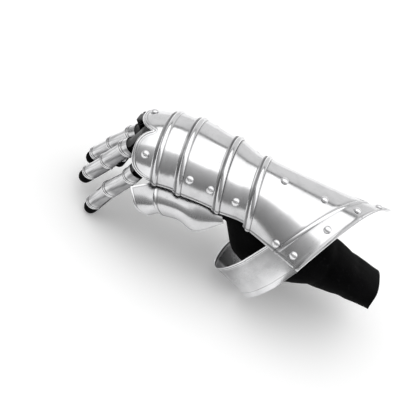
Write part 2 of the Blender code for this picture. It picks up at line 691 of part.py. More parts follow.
def build_rivets():
    mesh = rivet_mesh()
    mesh.materials.append(rivet_steel)
    for name, turn, share in KNUCKLE_RIVETS:
        x = ridge_x(0) - share * LOBE_REACH
        place_rivet(f"rivet_knuckle_{name}", mesh, lambda u, v: hand_shell(v, u, PLATE), turn, x)
    for name, index, turn, share in LAME_RIVETS:
        x = KNUCKLE_X + share * HAND_PLATES_LENGTH
        for side, place in (("near", turn), ("far", 1 - turn)):
            place_rivet(f"rivet_{name}_{side}", mesh,
                        lambda u, v, i=index: hand_shell(v, u, PLATE + lame_offset(i, v)), place, x)
    places = [(f"line_{i + 1}", turn, along) for i, (turn, along) in enumerate(LINE_RIVETS)]
    for side, turn in (("near", SEAM_RIVET_TURN), ("far", 1 - SEAM_RIVET_TURN)):
        for i, share in enumerate(SEAM_RIVETS):
            places.append((f"seam_{side}_{i + 1}", turn, share * cuff_length(turn)))
    for i, turn in enumerate(RIM_RIVET_TURNS):
        places.append((f"rim_{i + 1}", turn, cuff_length(turn) - 0.5 * RIM_BAND))
    for name, turn, along in places:
        place_rivet(f"rivet_{name}", mesh, lambda u, v: cuff_shell(u, v, PLATE), turn, along)


def lowest(pieces, matrix, low_x, high_x):
    graph = bpy.context.evaluated_depsgraph_get()
    best = None
    for piece in pieces:
        evaluated = piece.evaluated_get(graph)
        mesh = evaluated.to_mesh()
        for vertex in mesh.vertices:
            local = piece.matrix_local @ vertex.co
            if low_x <= local.x <= high_x:
                height = (matrix @ local).z
                if best is None or height < best[0]:
                    best = (height, local)
        evaluated.to_mesh_clear()
    return best[1]


def rest_on_floor():
    """Tip the gauntlet onto its fingertips and the inner plate's foot, then centre it."""
    bpy.context.view_layer.update()
    pieces = [piece for piece in parts.objects if piece.type == "MESH"]
    tilt = 0.0
    for _ in range(4):
        turn = Matrix.Rotation(tilt, 4, "Y")
        front = lowest(pieces, turn, -1.0, KNUCKLE_X)
        rear = lowest(pieces, turn, 0.5 * HAND_PLATES_LENGTH, ridge_x(3) + CUFF_SEAM_LENGTH)
        tilt = math.atan2(rear.z - front.z, rear.x - front.x)
    turn = Matrix.Rotation(tilt, 4, "Y")
    graph = bpy.context.evaluated_depsgraph_get()
    points = []
    for piece in pieces:
        evaluated = piece.evaluated_get(graph)
        mesh = evaluated.to_mesh()
        points += [turn @ piece.matrix_local @ vertex.co for vertex in mesh.vertices]
        evaluated.to_mesh_clear()
    low = [min(point[i] for point in points) for i in range(3)]
    high = [max(point[i] for point in points) for i in range(3)]
    stand.rotation_euler = (0.0, tilt, 0.0)
    stand.location = (-0.5 * (low[0] + high[0]), -0.5 * (low[1] + high[1]), -low[2])


for old in list(bpy.data.objects):
    bpy.data.objects.remove(old)
parts = bpy.data.collections.new("armoured_gauntlet")
bpy.context.scene.collection.children.link(parts)
stand = bpy.data.objects.new("rest_pose", None)
parts.objects.link(stand)
steel = new_material("steel", (0.62, 0.62, 0.63), 1.0, 0.18)
rivet_steel = new_material("rivet_steel", (0.7, 0.7, 0.71), 1.0, 0.15)
leather = new_material("black_suede", (0.012, 0.012, 0.013), 0.0, 0.9)

all_digits = make_digits()
build_lames()
build_knuckle_plate()
build_cuff()
build_inner_plate()
build_finger_plates(all_digits)
build_thumb_plates()
build_glove(all_digits)
build_straps(all_digits)
build_rivets()
rest_on_floor()
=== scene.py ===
"""Looks of a right-hand plate gauntlet of polished steel over a black suede glove.

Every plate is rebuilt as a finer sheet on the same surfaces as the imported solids: the hand's
own frame has +X to the elbow, -Y to the thumb side and +Z out of the back of the hand, and
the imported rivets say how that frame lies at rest.
"""
import math

import bmesh
import bpy
import numpy as np
from mathutils import Matrix, Vector, noise


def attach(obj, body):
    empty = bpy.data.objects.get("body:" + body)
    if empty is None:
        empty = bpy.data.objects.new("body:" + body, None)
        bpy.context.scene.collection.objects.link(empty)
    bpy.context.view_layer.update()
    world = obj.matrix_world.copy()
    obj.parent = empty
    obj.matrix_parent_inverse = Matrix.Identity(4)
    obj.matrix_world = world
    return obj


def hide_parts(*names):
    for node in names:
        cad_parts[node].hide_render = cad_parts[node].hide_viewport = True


MM = 0.001

# Sheets and clearances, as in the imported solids
PLATE = 1.2 * MM
LEATHER = 1.6 * MM
STRAP = 1.2 * MM
FINGER_SHEET = 1.0 * MM
GAP = 0.3 * MM
LAP = PLATE + 2 * GAP
SEAM_GAP = 1.0 * MM
TUCK = 7.0 * MM

# Hand plates
HAND_HALF_WIDTH = 50.0 * MM
HAND_ARCH_HEIGHT = 45.0 * MM
HAND_EDGE_Z = 50.0 * MM
KNUCKLE_X = -6.5 * MM
HAND_PLATES_LENGTH = 114.5 * MM
HAND_LEAN = 0.22
RIDGE_SHARES = (0.0, 0.25, 0.66, 1.0)
RIDGE_WIDTH = 8.2 * MM
RIDGE_HEIGHT = 2.4 * MM
LOBE_REACH = 31.0 * MM
HAND_ARC = 150.0 * MM             # about the length round the arch, for edges and grain

# Cuff
CUFF_SEAM_LENGTH = 75.0 * MM
CUFF_FAR_LENGTH = 61.0 * MM
CUFF_POINT_LENGTH = 152.0 * MM
MOUTH_RADIUS = 78.0 * MM
MOUTH_Z = -2.0 * MM
CUFF_START_ANGLES = (-4.0, 190.0)
CUFF_MOUTH_ANGLES = (26.0, 214.0)
CUFF_POINT_ANGLE = 131.0
CUFF_STEPS = 24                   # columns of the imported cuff
RIM_BAND = 32.0 * MM
LIP = 3.2 * MM

# Inner cuff plate
INNER_SEAM_START = 0.43
INNER_FRONT_X = 93.0 * MM
INNER_REAR_X = 137.0 * MM
INNER_LOW_ANGLE = -70.0
INNER_HALF_WIDTH = 66.0 * MM
INNER_HALF_HEIGHT = 62.0 * MM
INNER_FRONT_Z = 2.0 * MM
FOOT_SHARE = 0.94
FOOT_SLOPE = 0.13

# Glove
GLOVE_LENGTH = 296.0 * MM
GLOVE_FRONT_X = -16.0 * MM
HAND_SPACE = 5.0 * MM
PALM_HALF_WIDTH = HAND_HALF_WIDTH - HAND_SPACE
FINGER_ROOT_DEPTH = 30.0 * MM
PALM_HALF_THICKNESS = 19.0 * MM
PALM_Z = 62.0 * MM
GLOVE_DROP = 80.0 * MM

# Fingers and thumb
FINGER_SEAT = 0.6 * MM
BEAD_WIDTH = 3.0 * MM
BEAD_HEIGHT = 0.8 * MM
FINGER_LAP = FINGER_SHEET + GAP
FINGER_SPACE = 0.8 * MM
FINGER_SIDE = 0.287
FINGER_RADIUS = (FINGER_SIDE * PALM_HALF_WIDTH - 0.5 * FINGER_SPACE
                 - FINGER_SEAT - FINGER_LAP - FINGER_SHEET - BEAD_HEIGHT)
THUMB_RADIUS = 13.5 * MM
THUMB_ROOT = (14.0 * MM, 16.0 * MM, 6.0 * MM)
PLATE_WRAP = 120.0
CORNER_SHARE = 0.9
CORNER_FADE = 24.0 * MM
STRAP_WRAP = 56.0
STRAP_GAP = 0.8 * MM
STRAP_SHOW = 6.5 * MM
STRAP_TURN = 0.062
STRAP_STATIONS = (-0.12, 0.35, 0.7, 1.0)
STRAP_SPREAD = 0.30
STRAP_HALF_WIDTH = 9 * MM         # for the grain
TIP_LENGTH = 15.0 * MM

RIVET_RADIUS = 4.7 * MM
RIVET_HEIGHT = 3.2 * MM
RIVET_FOOT = 4.55 * MM
RIVET_MIDDLE = 1.33 * MM          # mean height of a packed rivet head's corners

# Detail of the finished pieces
FLANK_SHARE = 0.46                # flank of a ridge, of its width
RIDGE_END = 0.98
BEAD_SHARE = 0.98                 # height of a ridge's bead, of the ridge's
CUFF_ARC = 1.3 * HAND_ARC
EDGE_ANGLE = 50.0                 # degrees; sharper edges are softened
ROLL_HALF_WIDTH = 0.95 * MM       # rolled edge of the plates
ROLL_HEIGHT = 0.55 * MM
RIM_SWEEP = 1.1                   # how hollow the rim's two sides are
SQUARENESS = 0.85                 # of the glove's sections; 1 is an ellipse
ROOT_SPREAD = 0.96                # of the fingers, inside the palm
BEND_REACH = 0.6                  # of a finger's radius, plates lie flat either side of a bend
BAND_WIDTH = 4.2 * MM             # bead along the cuff's rim band
BAND_HEIGHT = 1.2 * MM
INNER_WIDTH = 44.0 * MM           # inner plate from its front edge to its rim
GLOVE_VOXEL = 1.8 * MM
TAIL_START = 150.0 * MM           # leather behind this is free to wrinkle
TAIL_FADE = 40.0 * MM
TAIL_ROUNDING = 30.0 * MM         # length over which the leather's end corners are rounded
TAIL_CORNER = 4.0 * MM
TAIL_HALF_WIDTH = 1.02 * PALM_HALF_WIDTH
LOW_PAINTED_SHADE = 0.34                   # painted shade: darker reflection at the plates' lower edges, and how far up it goes
LOW_PAINTED_SHADE_REACH = 17.0 * MM
INNER_PAINTED_SHADE = 0.6                  # painted shade at the inner plate's front
SIDE_PAINTED_SHADE = 0.62                  # painted dark reflection on a finger plate's sides: from an angle, over a span in degrees
SIDE_PAINTED_SHADE_START = 38.0
SIDE_PAINTED_SHADE_SPAN = 40.0
SIDE_PAINTED_SHADE_BACK = 5.0              # mm behind the front edge, and how far it takes to come in
SIDE_PAINTED_SHADE_FADE = 4.0
# Painted darker reflection on the thumb plates: an even amount, more toward the upper edge.
THUMB_PAINTED_SHADE = 0.14
THUMB_PAINTED_SHADE_RISE = 0.34            # painted shade added across a thumb plate
THUMB_PAINTED_SHADE_START = 0.35
THUMB_PAINTED_SHADE_SPAN = 0.4
THUMB_PAINTED_SHADE_EDGE = 1.6 * MM

# Two beads behind a finger plate's front edge: distance in mm, height as a share, painted shade.
FINGER_BEADS = (
    (0.0, 0.0, 0.0), (0.2, 0.45, 0.0), (0.6, 0.85, 0.0), (1.1, 1.0, 0.0), (1.6, 0.85, 0.0),
    (2.0, 0.4, 0.3), (2.15, 0.02, 1.0), (2.5, 0.02, 1.0), (2.65, 0.35, 0.3), (3.0, 0.65, 0.0),
    (3.4, 0.75, 0.0), (3.8, 0.65, 0.0), (4.15, 0.35, 0.3), (4.35, 0.0, 1.0), (4.9, 0.0, 0.5),
    (5.8, 0.0, 0.1),
)

# A ridge's front flank and the flat behind it: distance and height as shares, painted shade.
RIDGE_FLANK = (
    (0.0, 0.0, 0.2), (0.04, 0.10, 0.0), (0.08, 0.12, 0.6), (0.2, 0.2, 0.82), (0.36, 0.3, 0.86),
    (0.42, 0.33, 1.0),
)
RIDGE_REAR = ((1.02, 0.0, 1.0), (1.12, 0.0, 0.95), (1.18, 0.0, 0.25), (1.34, 0.0, 0.0))

# Bead along the cuff's rim band and the rim's lip, each as distance back, height and painted shade.
BAND_BEAD = (
    (0.9, 0.0, 0.2), (0.56, 0.0, 0.9),
    *[(0.5 * math.cos(math.pi * step / 8), math.sin(math.pi * step / 8), 0.0) for step in range(1, 8)],
    (-0.5, 0.0, 1.0), (-0.62, 0.0, 0.7), (-0.9, 0.0, 0.2),
)
RIM_LIP = (
    (2.4, 0.0, 0.0), (1.9, 0.02, 0.2), (1.5, 0.1, 0.5), (1.2, 0.22, 0.3), (0.9, 0.36, 0.0),
    (0.6, 0.55, 0.0), (0.3, 0.78, 0.0), (0.0, 1.0, 0.0),
)

# Beads at the inner plate's front edge: distance in mm, height as a share, painted shade.
INNER_BEADS = (
    (0.0, 0.0, 0.0), (0.25, 0.5, 0.0), (0.7, 0.8, 0.0), (1.2, 0.8, 0.0), (1.6, 0.5, 0.0), (1.8, 0.05, 0.9),
    (2.2, 0.05, 0.9), (2.4, 0.4, 0.0), (2.9, 0.7, 0.0), (3.4, 0.4, 0.0), (3.7, 0.0, 0.9), (4.6, 0.0, 0.2),
)

# Folds across the leather cuff: place along the hand, lean, half width and depth.
CREASES = (
    (205 * MM, 0.35, 5 * MM, 1.5 * MM),
    (232 * MM, 0.60, 7 * MM, 1.0 * MM),
    (178 * MM, -0.30, 5 * MM, 0.9 * MM),
)

# Studio: angle of the light's direction about the arm (0 from the viewer's side, 90 from
# above, 180 from behind) and its brightness.
STUDIO_BANDS = (
    (-180, 0.80), (-90, 0.90), (-12, 0.60), (0, 0.30), (8, 0.22), (18, 0.27), (34, 0.36), (47, 0.48),
    (56, 0.66), (60, 0.85), (62.5, 1.5), (126, 1.5), (129.5, 0.16), (134, 0.2), (137, 0.74), (180, 0.80),
)
FULL_TURN = 360.0                 # degrees
STUDIO_PEAK = 2.0                 # brightness that a full ramp colour stands for
FRONT_FALL = (-0.95, -0.6, 0.35, 1.0)   # dimmer toward the fingers: from, to, and the two shares
REAR_FALL = (0.8, 1.0, 1.0, 0.75)       # and toward the elbow

# Floor
FLOOR_HALF_SIZE = 4.0             # metres
PAPER_COLOUR = (0.93, 0.93, 0.93)
PAPER_GLOW = 0.16

# Camera, fitted to the photograph
CAMERA_AZIMUTH = 4.2              # degrees
CAMERA_ELEVATION = 44.95
CAMERA_ROLL = 31.98
CAMERA_DISTANCE = 1.1202
CAMERA_LENS = 85.78               # mm
SENSOR_WIDTH = 36.0               # mm
CAMERA_TARGET = (-0.0438, 0.0141)  # across and up the picture from the point below
CAMERA_POINT = (0.0, 0.0, 0.08)

# Hand arch sections: share of the hand plates' length, then half width, height and edge height
# as shares of their named sizes.
ARCH_SECTIONS = (
    (-0.34, 0.90, 0.66, 0.98),
    (-0.16, 0.97, 0.86, 1.00),
    (0.00, 1.00, 0.96, 1.02),
    (0.26, 1.04, 1.03, 1.07),
    (0.67, 1.00, 1.05, 1.00),
    (1.00, 0.90, 1.00, 0.88),
    (1.08, 0.91, 0.98, 0.865),
)

# Knuckle plate lobes: turn of the middle, how far the lobe runs outwards and inwards, and its
# share of the full reach.
KNUCKLE_LOBES = ((0.20, 0.20, 0.21, 0.80), (0.66, 0.34, 0.27, 1.00))

# Rivets on the knuckle plate: side, turn and share of the lobes' reach.
KNUCKLE_RIVETS = (("near", 0.205, 0.33), ("far", 0.63, 0.70))

# Rivets on the lames, one at each side: name, lame, turn and share of the hand plates' length.
LAME_RIVETS = (("front", 1, 0.145, 0.395), ("rear", 1, 0.14, 0.615), ("wrist", 2, 0.14, 0.88))

# Rivets on the cuff: turns and places along it, in metres or as shares of its length there.
LINE_RIVETS = ((0.42, 33.0 * MM), (0.385, 83.0 * MM))
SEAM_RIVETS = (0.52, 0.80)
SEAM_RIVET_TURN = 0.045
RIM_RIVET_TURNS = (0.22, 0.39, 0.56, 0.73, 0.88)

# Glove sections: share of the length, height drop, half width, half thickness, twist in degrees.
GLOVE_SECTIONS = (
    (0.000, 0.03, 0.62, 0.45, 0),
    (0.025, 0.01, 0.90, 0.78, 0),
    (0.070, 0.00, 0.98, 0.90, 0),
    (0.170, 0.00, 1.00, 1.00, 0),
    (0.310, 0.11, 0.84, 1.28, 0),
    (0.425, 0.54, 0.98, 2.72, -4),
    (0.570, 0.77, 1.08, 2.58, -12),
    (0.730, 0.84, 1.02, 1.70, -24),
    (0.880, 0.93, 1.06, 1.15, -27),
    (1.000, 1.00, 1.11, 0.88, -27),
)

# Fingers: name, side position as a share of the palm's half width, radius share, root x and z in
# hand half widths, bare strap before the first plate and plate lengths in finger radii, and the
# pitch below horizontal of each plate in degrees.
FINGERS = (
    ("index", -3 * FINGER_SIDE, 1.00, -0.44, 1.03, 0.60, (2.55, 4.35, 3.95), (68, 59, 66)),
    ("middle", -FINGER_SIDE, 1.00, -0.76, 1.16, 0.80, (2.20, 3.95, 3.85), (51, 62, 58)),
    ("ring", FINGER_SIDE, 1.00, -0.72, 1.20, 1.20, (2.75, 3.60, 3.50), (46, 56, 56)),
    ("little", 2.86 * FINGER_SIDE, 0.88, -0.60, 1.06, 2.00, (3.60, 2.80, 2.60), (60, 68, 74)),
)

# Thumb axis: share of the hand plates' length, side and height in hand half widths.
THUMB_AXIS = ((0.784, -0.54, 0.72), (0.466, -0.82, 0.68), (0.164, -0.96, 0.60),
              (0.009, -1.13, 0.50), (-0.070, -1.21, 0.41))

# Thumb plates, in hand half widths: share along the plate, lower edge x, y and z, upper edge x, y
# and z, and how far the plate bulges out from the line between them.
THUMB_TIP = (
    (0.0, -0.10, -1.35, 0.26, -0.48, -1.24, 0.84, 0.22),
    (0.3, 0.10, -1.31, 0.31, -0.27, -1.11, 0.91, 0.22),
    (0.6, 0.28, -1.20, 0.37, -0.08, -0.97, 0.94, 0.20),
    (1.0, 0.50, -1.15, 0.43, 0.16, -0.90, 0.94, 0.20),
)
THUMB_BASE = (
    (0.0, 0.34, -1.18, 0.34, 0.00, -0.92, 0.98, 0.28),
    (0.35, 0.76, -1.22, 0.46, 0.52, -0.91, 1.00, 0.23),
    (0.62, 1.14, -1.22, 0.32, 1.00, -0.91, 0.97, 0.16),
    (1.0, 1.74, -1.04, 0.74, 1.60, -0.91, 0.86, 0.03),
)
THUMB_TIP_ROUND = 0.30            # how far the lower front corner is rounded back, of the plate
THUMB_BASE_ROUND = 0.04


def unit(value):
    """The value, held between 0 and 1."""
    return min(max(value, 0.0), 1.0)


def spaced(start, end, count):
    """Evenly spaced numbers, both ends included."""
    return np.linspace(start, end, count).tolist()


def add_object(name, data):
    made = bpy.data.objects.new(name, data)
    bpy.context.scene.collection.objects.link(made)
    return made


def mesh_from(bm, name):
    mesh = bpy.data.meshes.new(name)
    bm.to_mesh(mesh)
    bm.free()
    return mesh


def smooth_row(table, place):
    """Values of a table at a place in its first column, eased by a monotone cubic."""
    keys = [row[0] for row in table]
    place = min(max(place, keys[0]), keys[-1])
    index = max(i for i, key in enumerate(keys[:-1]) if key <= place)
    span = keys[index + 1] - keys[index]
    share = (place - keys[index]) / span
    values = []
    for column in range(1, len(table[0])):
        data = [row[column] for row in table]
        slope = [(data[i + 1] - data[i]) / (keys[i + 1] - keys[i]) for i in range(len(keys) - 1)]
        ends = []
        for i in (index, index + 1):
            before = slope[max(i - 1, 0)]
            after = slope[min(i, len(slope) - 1)]
            ends.append(2 * before * after / (before + after) if before * after > 0 else 0.0)
        h00 = 2 * share ** 3 - 3 * share ** 2 + 1
        h10 = share ** 3 - 2 * share ** 2 + share
        h01 = 3 * share ** 2 - 2 * share ** 3
        h11 = share ** 3 - share ** 2
        values.append(h00 * data[index] + h01 * data[index + 1]
                      + span * (h10 * ends[0] + h11 * ends[1]))
    return values


def hand_shell(x, turn, offset=0.0):
    """Point on the hand's arch; turn runs from 0 at the thumb-side edge to 1 at the far edge."""
    width, height, edge = smooth_row(ARCH_SECTIONS, (x - KNUCKLE_X) / HAND_PLATES_LENGTH)
    half = HAND_HALF_WIDTH * width
    rise = HAND_ARCH_HEIGHT * height
    angle = math.pi * turn
    normal = Vector((0.0, -rise * math.cos(angle), half * math.sin(angle))).normalized()
    up = rise * math.sin(angle)
    point = Vector((x - HAND_LEAN * up, -half * math.cos(angle), HAND_EDGE_Z * edge + up))
    return point + normal * offset


def ridge_x(index):
    return KNUCKLE_X + HAND_PLATES_LENGTH * RIDGE_SHARES[index]


def mouth_x(angle):
    """Distance of the rim along the arm at an angle in degrees."""
    near = angle < CUFF_POINT_ANGLE
    reach = abs(CUFF_MOUTH_ANGLES[0 if near else 1] - CUFF_POINT_ANGLE)
    low = CUFF_SEAM_LENGTH if near else CUFF_FAR_LENGTH
    share = max(0.0, 1.0 - abs(angle - CUFF_POINT_ANGLE) / reach)
    return ridge_x(3) + low + (CUFF_POINT_LENGTH - low) * share ** RIM_SWEEP


def round_point(x, radius, centre_z, angle):
    turn = math.radians(angle)
    return Vector((x, -radius * math.cos(turn), centre_z + radius * math.sin(turn)))


def cuff_line(turn):
    """Ends of the straight line on the cuff at a turn from 0, the thumb-side seam, to 1."""
    start = CUFF_START_ANGLES[0] + turn * (CUFF_START_ANGLES[1] - CUFF_START_ANGLES[0])
    end = CUFF_MOUTH_ANGLES[0] + turn * (CUFF_MOUTH_ANGLES[1] - CUFF_MOUTH_ANGLES[0])
    wrist = hand_shell(ridge_x(3), start / 180.0, LAP + GAP)
    return wrist, round_point(mouth_x(end), MOUTH_RADIUS, MOUTH_Z, end)


def cuff_shell(turn, along, offset=0.0):
    """Point on the cuff: along is in metres from the wrist ridge, on a straight line."""
    first, last = cuff_line(turn)
    low, high = max(turn - 0.01, 0.0), min(turn + 0.01, 1.0)
    low_line, high_line = cuff_line(low), cuff_line(high)
    share = along / (last - first).length
    across = high_line[0].lerp(high_line[1], share) - low_line[0].lerp(low_line[1], share)
    normal = across.cross(last - first).normalized()
    return first + (last - first) * share - normal * offset


def cuff_length(turn):
    first, last = cuff_line(turn)
    return (last - first).length


def lame_step(index):
    """Where a lame starts to come down onto the hand's arch, and where it is down."""
    front, rear = ridge_x(index), ridge_x(index + 1) + TUCK
    return front + RIDGE_WIDTH + 1.5 * MM, front + 0.62 * (rear - front)


def lame_offset(index, x):
    """Stand-off of a lame: full over its neighbour, then none."""
    full, none = lame_step(index)
    return LAP * unit((none - x) / (none - full))


def lobe_reach(turn):
    """Reach of the scalloped knuckle plate in front of the first ridge."""
    reach = 0.0
    for centre, outer, inner, full in KNUCKLE_LOBES:
        outward = (turn < centre) == (centre < 0.5)
        share = abs(turn - centre) / (outer if outward else inner)
        reach = max(reach, full * LOBE_REACH * math.sqrt(max(0.0, 1.0 - share ** 3)))
    return reach


def inner_ring_point(share, angle, rise):
    """Free part of the inner cuff plate; share is 0 at its front edge and 1 at its rim."""
    turn = math.radians(angle)
    half = INNER_HALF_WIDTH + share * (MOUTH_RADIUS - INNER_HALF_WIDTH) + rise
    height = INNER_HALF_HEIGHT + share * (MOUTH_RADIUS - INNER_HALF_HEIGHT) + rise
    centre = INNER_FRONT_Z + share * (MOUTH_Z - INNER_FRONT_Z)
    x_low = INNER_FRONT_X + share * (INNER_REAR_X - INNER_FRONT_X)
    seam = cuff_shell(0.0, cuff_length(0.0) * (INNER_SEAM_START + share * (1 - INNER_SEAM_START)))
    seam_angle = math.atan2(seam.z - centre, -seam.y)
    low_angle = math.radians(INNER_LOW_ANGLE)
    swing = (1 - math.cos(turn - low_angle)) / (1 - math.cos(seam_angle - low_angle))
    x = x_low + (seam.x - x_low) * swing
    floor_z = centre - height * FOOT_SHARE - FOOT_SLOPE * (x - x_low)
    return Vector((x, -half * math.cos(turn), max(centre + height * math.sin(turn), floor_z)))


def digit_axis(root, lengths, pitches):
    """Axis samples of a finger: bends are eased over a finger's radius."""
    total = sum(lengths)
    bends = np.cumsum(lengths)[:-1]
    point = Vector(root)
    samples = [(0.0, point.copy())]
    step = 1.0 * MM
    along = 0.0
    while along < total + TIP_LENGTH:
        pitch = float(pitches[0])
        for i, bend in enumerate(bends):
            ease = unit((along - bend) / (1.2 * FINGER_RADIUS) + 0.5)
            pitch += (pitches[i + 1] - pitches[i]) * ease * ease * (3 - 2 * ease)
        angle = math.radians(pitch)
        point = point + Vector((-math.cos(angle), 0.0, -math.sin(angle))) * step
        along += step
        samples.append((along, point.copy()))
    return samples


def spline(points, count):
    """Catmull-Rom samples through points."""
    full = [points[0] * 2 - points[1]] + list(points) + [points[-1] * 2 - points[-2]]
    samples = []
    for i in range(1, len(full) - 2):
        a, b, c, d = full[i - 1:i + 3]
        for k in range(count):
            t = k / count
            samples.append(0.5 * (2 * b + (c - a) * t + (2 * a - 5 * b + 4 * c - d) * t ** 2
                                  + (3 * b - a - 3 * c + d) * t ** 3))
    samples.append(points[-1].copy())
    return samples


class Digit:
    """A finger or thumb: an axis with its back's direction, a radius and its plates' lengths."""

    def __init__(self, samples, side, radius, bare, sizes):
        self.samples = samples
        self.side = side
        self.radius = radius
        self.bare = bare
        self.sizes = sizes
        self.length = samples[-1][0]

    def frame(self, along):
        keys = [sample[0] for sample in self.samples]
        i = int(min(max(np.searchsorted(keys, along) - 1, 0), len(keys) - 2))
        share = (along - keys[i]) / (keys[i + 1] - keys[i])
        point = self.samples[i][1].lerp(self.samples[i + 1][1], share)
        before = self.samples[max(i - 2, 0)][1]
        after = self.samples[min(i + 3, len(keys) - 1)][1]
        tangent = (after - before).normalized()
        back = self.side.cross(tangent).normalized()
        return point, tangent, back, tangent.cross(back)

    def surface(self, along, angle, offset=0.0):
        point, _, back, side = self.frame(along)
        turn = math.radians(angle)
        return point + (back * math.cos(turn) + side * math.sin(turn)) * (self.radius + offset)


def make_digits():
    digits = {}
    for name, side, girth, x, z, bare, lengths, pitches in FINGERS:
        root = (x * HAND_HALF_WIDTH, side * PALM_HALF_WIDTH, z * HAND_HALF_WIDTH)
        sizes = [length * FINGER_RADIUS for length in lengths]
        axis = digit_axis(root, sizes, pitches)
        digits[name] = Digit(axis, Vector((0, 1, 0)), girth * FINGER_RADIUS, bare * FINGER_RADIUS, sizes)
    points = [Vector((KNUCKLE_X + x * HAND_PLATES_LENGTH, y * HAND_HALF_WIDTH, z * HAND_HALF_WIDTH))
              for x, y, z in THUMB_AXIS]
    line = spline(points, 12)
    samples = [(0.0, line[0])]
    for before, after in zip(line, line[1:]):
        samples.append((samples[-1][0] + (after - before).length, after))
    digits["thumb"] = Digit(samples, Vector((0, 0.7, 0.7)), THUMB_RADIUS, 0.0, [])
    return digits


def thumb_surface(table, share, across, offset=0.0):
    """Point on a thumb plate; across runs from 0 at its lower edge to 1 at its upper edge."""
    row, ahead, behind = ([value * HAND_HALF_WIDTH for value in smooth_row(table, place)]
                          for place in (share, min(share + 0.02, 1.0), max(share - 0.02, 0.0)))
    low, high, bulge = Vector(row[0:3]), Vector(row[3:6]), row[6]
    along = Vector(ahead[0:3]) + Vector(ahead[3:6]) - Vector(behind[0:3]) - Vector(behind[3:6])
    normal = along.cross(high - low).normalized()
    return low.lerp(high, across) + normal * (bulge * 4 * across * (1 - across) + offset)


def rest_matrix():
    """Where the hand's frame lies at rest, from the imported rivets' places."""
    here, there = [], []
    for name, point, normal in rivet_places():
        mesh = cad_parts[f"rivet_{name}"].data
        corners = np.array([vertex.co for vertex in mesh.vertices])
        here.append(point + normal * (GAP + RIVET_MIDDLE))
        there.append(np.unique(corners.round(6), axis=0).mean(axis=0))
    here, there = np.array(here), np.array(there)
    middle_here, middle_there = here.mean(axis=0), there.mean(axis=0)
    spread = (here - middle_here).T @ (there - middle_there)
    left, _, right = np.linalg.svd(spread)
    turn = right.T @ np.diag((1.0, 1.0, np.sign(np.linalg.det(right.T @ left.T)))) @ left.T
    matrix = Matrix(turn.tolist()).to_4x4()
    matrix.translation = Vector(middle_there - turn @ middle_here)
    return matrix


def seat(surface, u, v):
    """Point and normal of a surface given as a function of two values."""
    point = surface(u, v)
    along_u = surface(u + 1e-3, v) - point
    along_v = surface(u, v + 1e-4) - point
    return point, along_v.cross(along_u).normalized()


def rivet_places():
    places = []
    for name, turn, share in KNUCKLE_RIVETS:
        x = ridge_x(0) - share * LOBE_REACH
        places.append((f"knuckle_{name}", *seat(lambda u, v: hand_shell(v, u, PLATE), turn, x)))
    for name, index, turn, share in LAME_RIVETS:
        x = KNUCKLE_X + share * HAND_PLATES_LENGTH
        for side, place in (("near", turn), ("far", 1 - turn)):
            surface = lambda u, v, i=index: hand_shell(v, u, PLATE + lame_offset(i, v))
            places.append((f"{name}_{side}", *seat(surface, place, x)))
    spots = [(f"line_{i + 1}", turn, along) for i, (turn, along) in enumerate(LINE_RIVETS)]
    for side, turn in (("near", SEAM_RIVET_TURN), ("far", 1 - SEAM_RIVET_TURN)):
        for i, share in enumerate(SEAM_RIVETS):
            spots.append((f"seam_{side}_{i + 1}", turn, share * cuff_length(turn)))
    for i, turn in enumerate(RIM_RIVET_TURNS):
        spots.append((f"rim_{i + 1}", turn, cuff_length(turn) - 0.5 * RIM_BAND))
    for name, turn, along in spots:
        places.append((name, *seat(lambda u, v: cuff_shell(u, v, PLATE), turn, along)))
    return places


def dress(name, mesh, material, node):
    """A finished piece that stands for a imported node."""
    piece = add_object(name, mesh)
    mesh.materials.append(material)
    mesh.transform(REST)
    for face in mesh.polygons:
        face.use_smooth = True
    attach(piece, "root")
    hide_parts(node)
    return piece


def sheet_mesh(name, rows, painted_shade, grain):
    """Grid through rows of points, with its painted shade and its flat coordinates as attributes."""
    count = len(rows[0])
    points = [point for row in rows for point in row]
    faces = []
    for i in range(len(rows) - 1):
        for j in range(count - 1):
            near, far = i * count + j, (i + 1) * count + j
            faces.append((near, far, far + 1, near + 1))
    mesh = bpy.data.meshes.new(name)
    mesh.from_pydata(points, [], faces)
    layer = mesh.attributes.new("painted_shade", "FLOAT", "POINT")
    layer.data.foreach_set("value", np.array(painted_shade, dtype=np.float32).ravel())
    layer = mesh.attributes.new("grain", "FLOAT_VECTOR", "POINT")
    layer.data.foreach_set("vector", np.array(grain, dtype=np.float32).ravel())
    return mesh


def grain_of(rows, across):
    """Flat coordinates of a grid, in metres: along the plate, round it and a constant."""
    grain = []
    run = 0.0
    middle = len(rows[0]) // 2
    for i, row in enumerate(rows):
        if i:
            run += (row[middle] - rows[i - 1][middle]).length
        grain.append([(run, place, 0.0) for place in across])
    return grain


def thicken(piece, thickness, side, edge):
    """Give a sheet its thickness and soften its edges."""
    solid = piece.modifiers.new("thickness", "SOLIDIFY")
    solid.thickness = thickness
    solid.offset = side
    soft = piece.modifiers.new("edges", "BEVEL")
    soft.width = edge
    soft.segments = 2
    soft.limit_method = "ANGLE"
    soft.angle_limit = math.radians(EDGE_ANGLE)
    return soft


def plate(name, node, rows, painted_shade, across, thickness=PLATE, side=1.0, edge=0.3 * MM, finish=None):
    """Steel plate of even thickness with softened edges."""
    mesh = sheet_mesh(name, rows, painted_shade, grain_of(rows, across))
    piece = dress(name, mesh, finish or STEEL, node)
    thicken(piece, thickness, side, edge).harden_normals = True


def bump_row(place, centre, half, height):
    """Height of a round bead across its middle."""
    share = abs(place - centre) / half
    return height * math.sqrt(1.0 - share * share) if share < 1.0 else 0.0


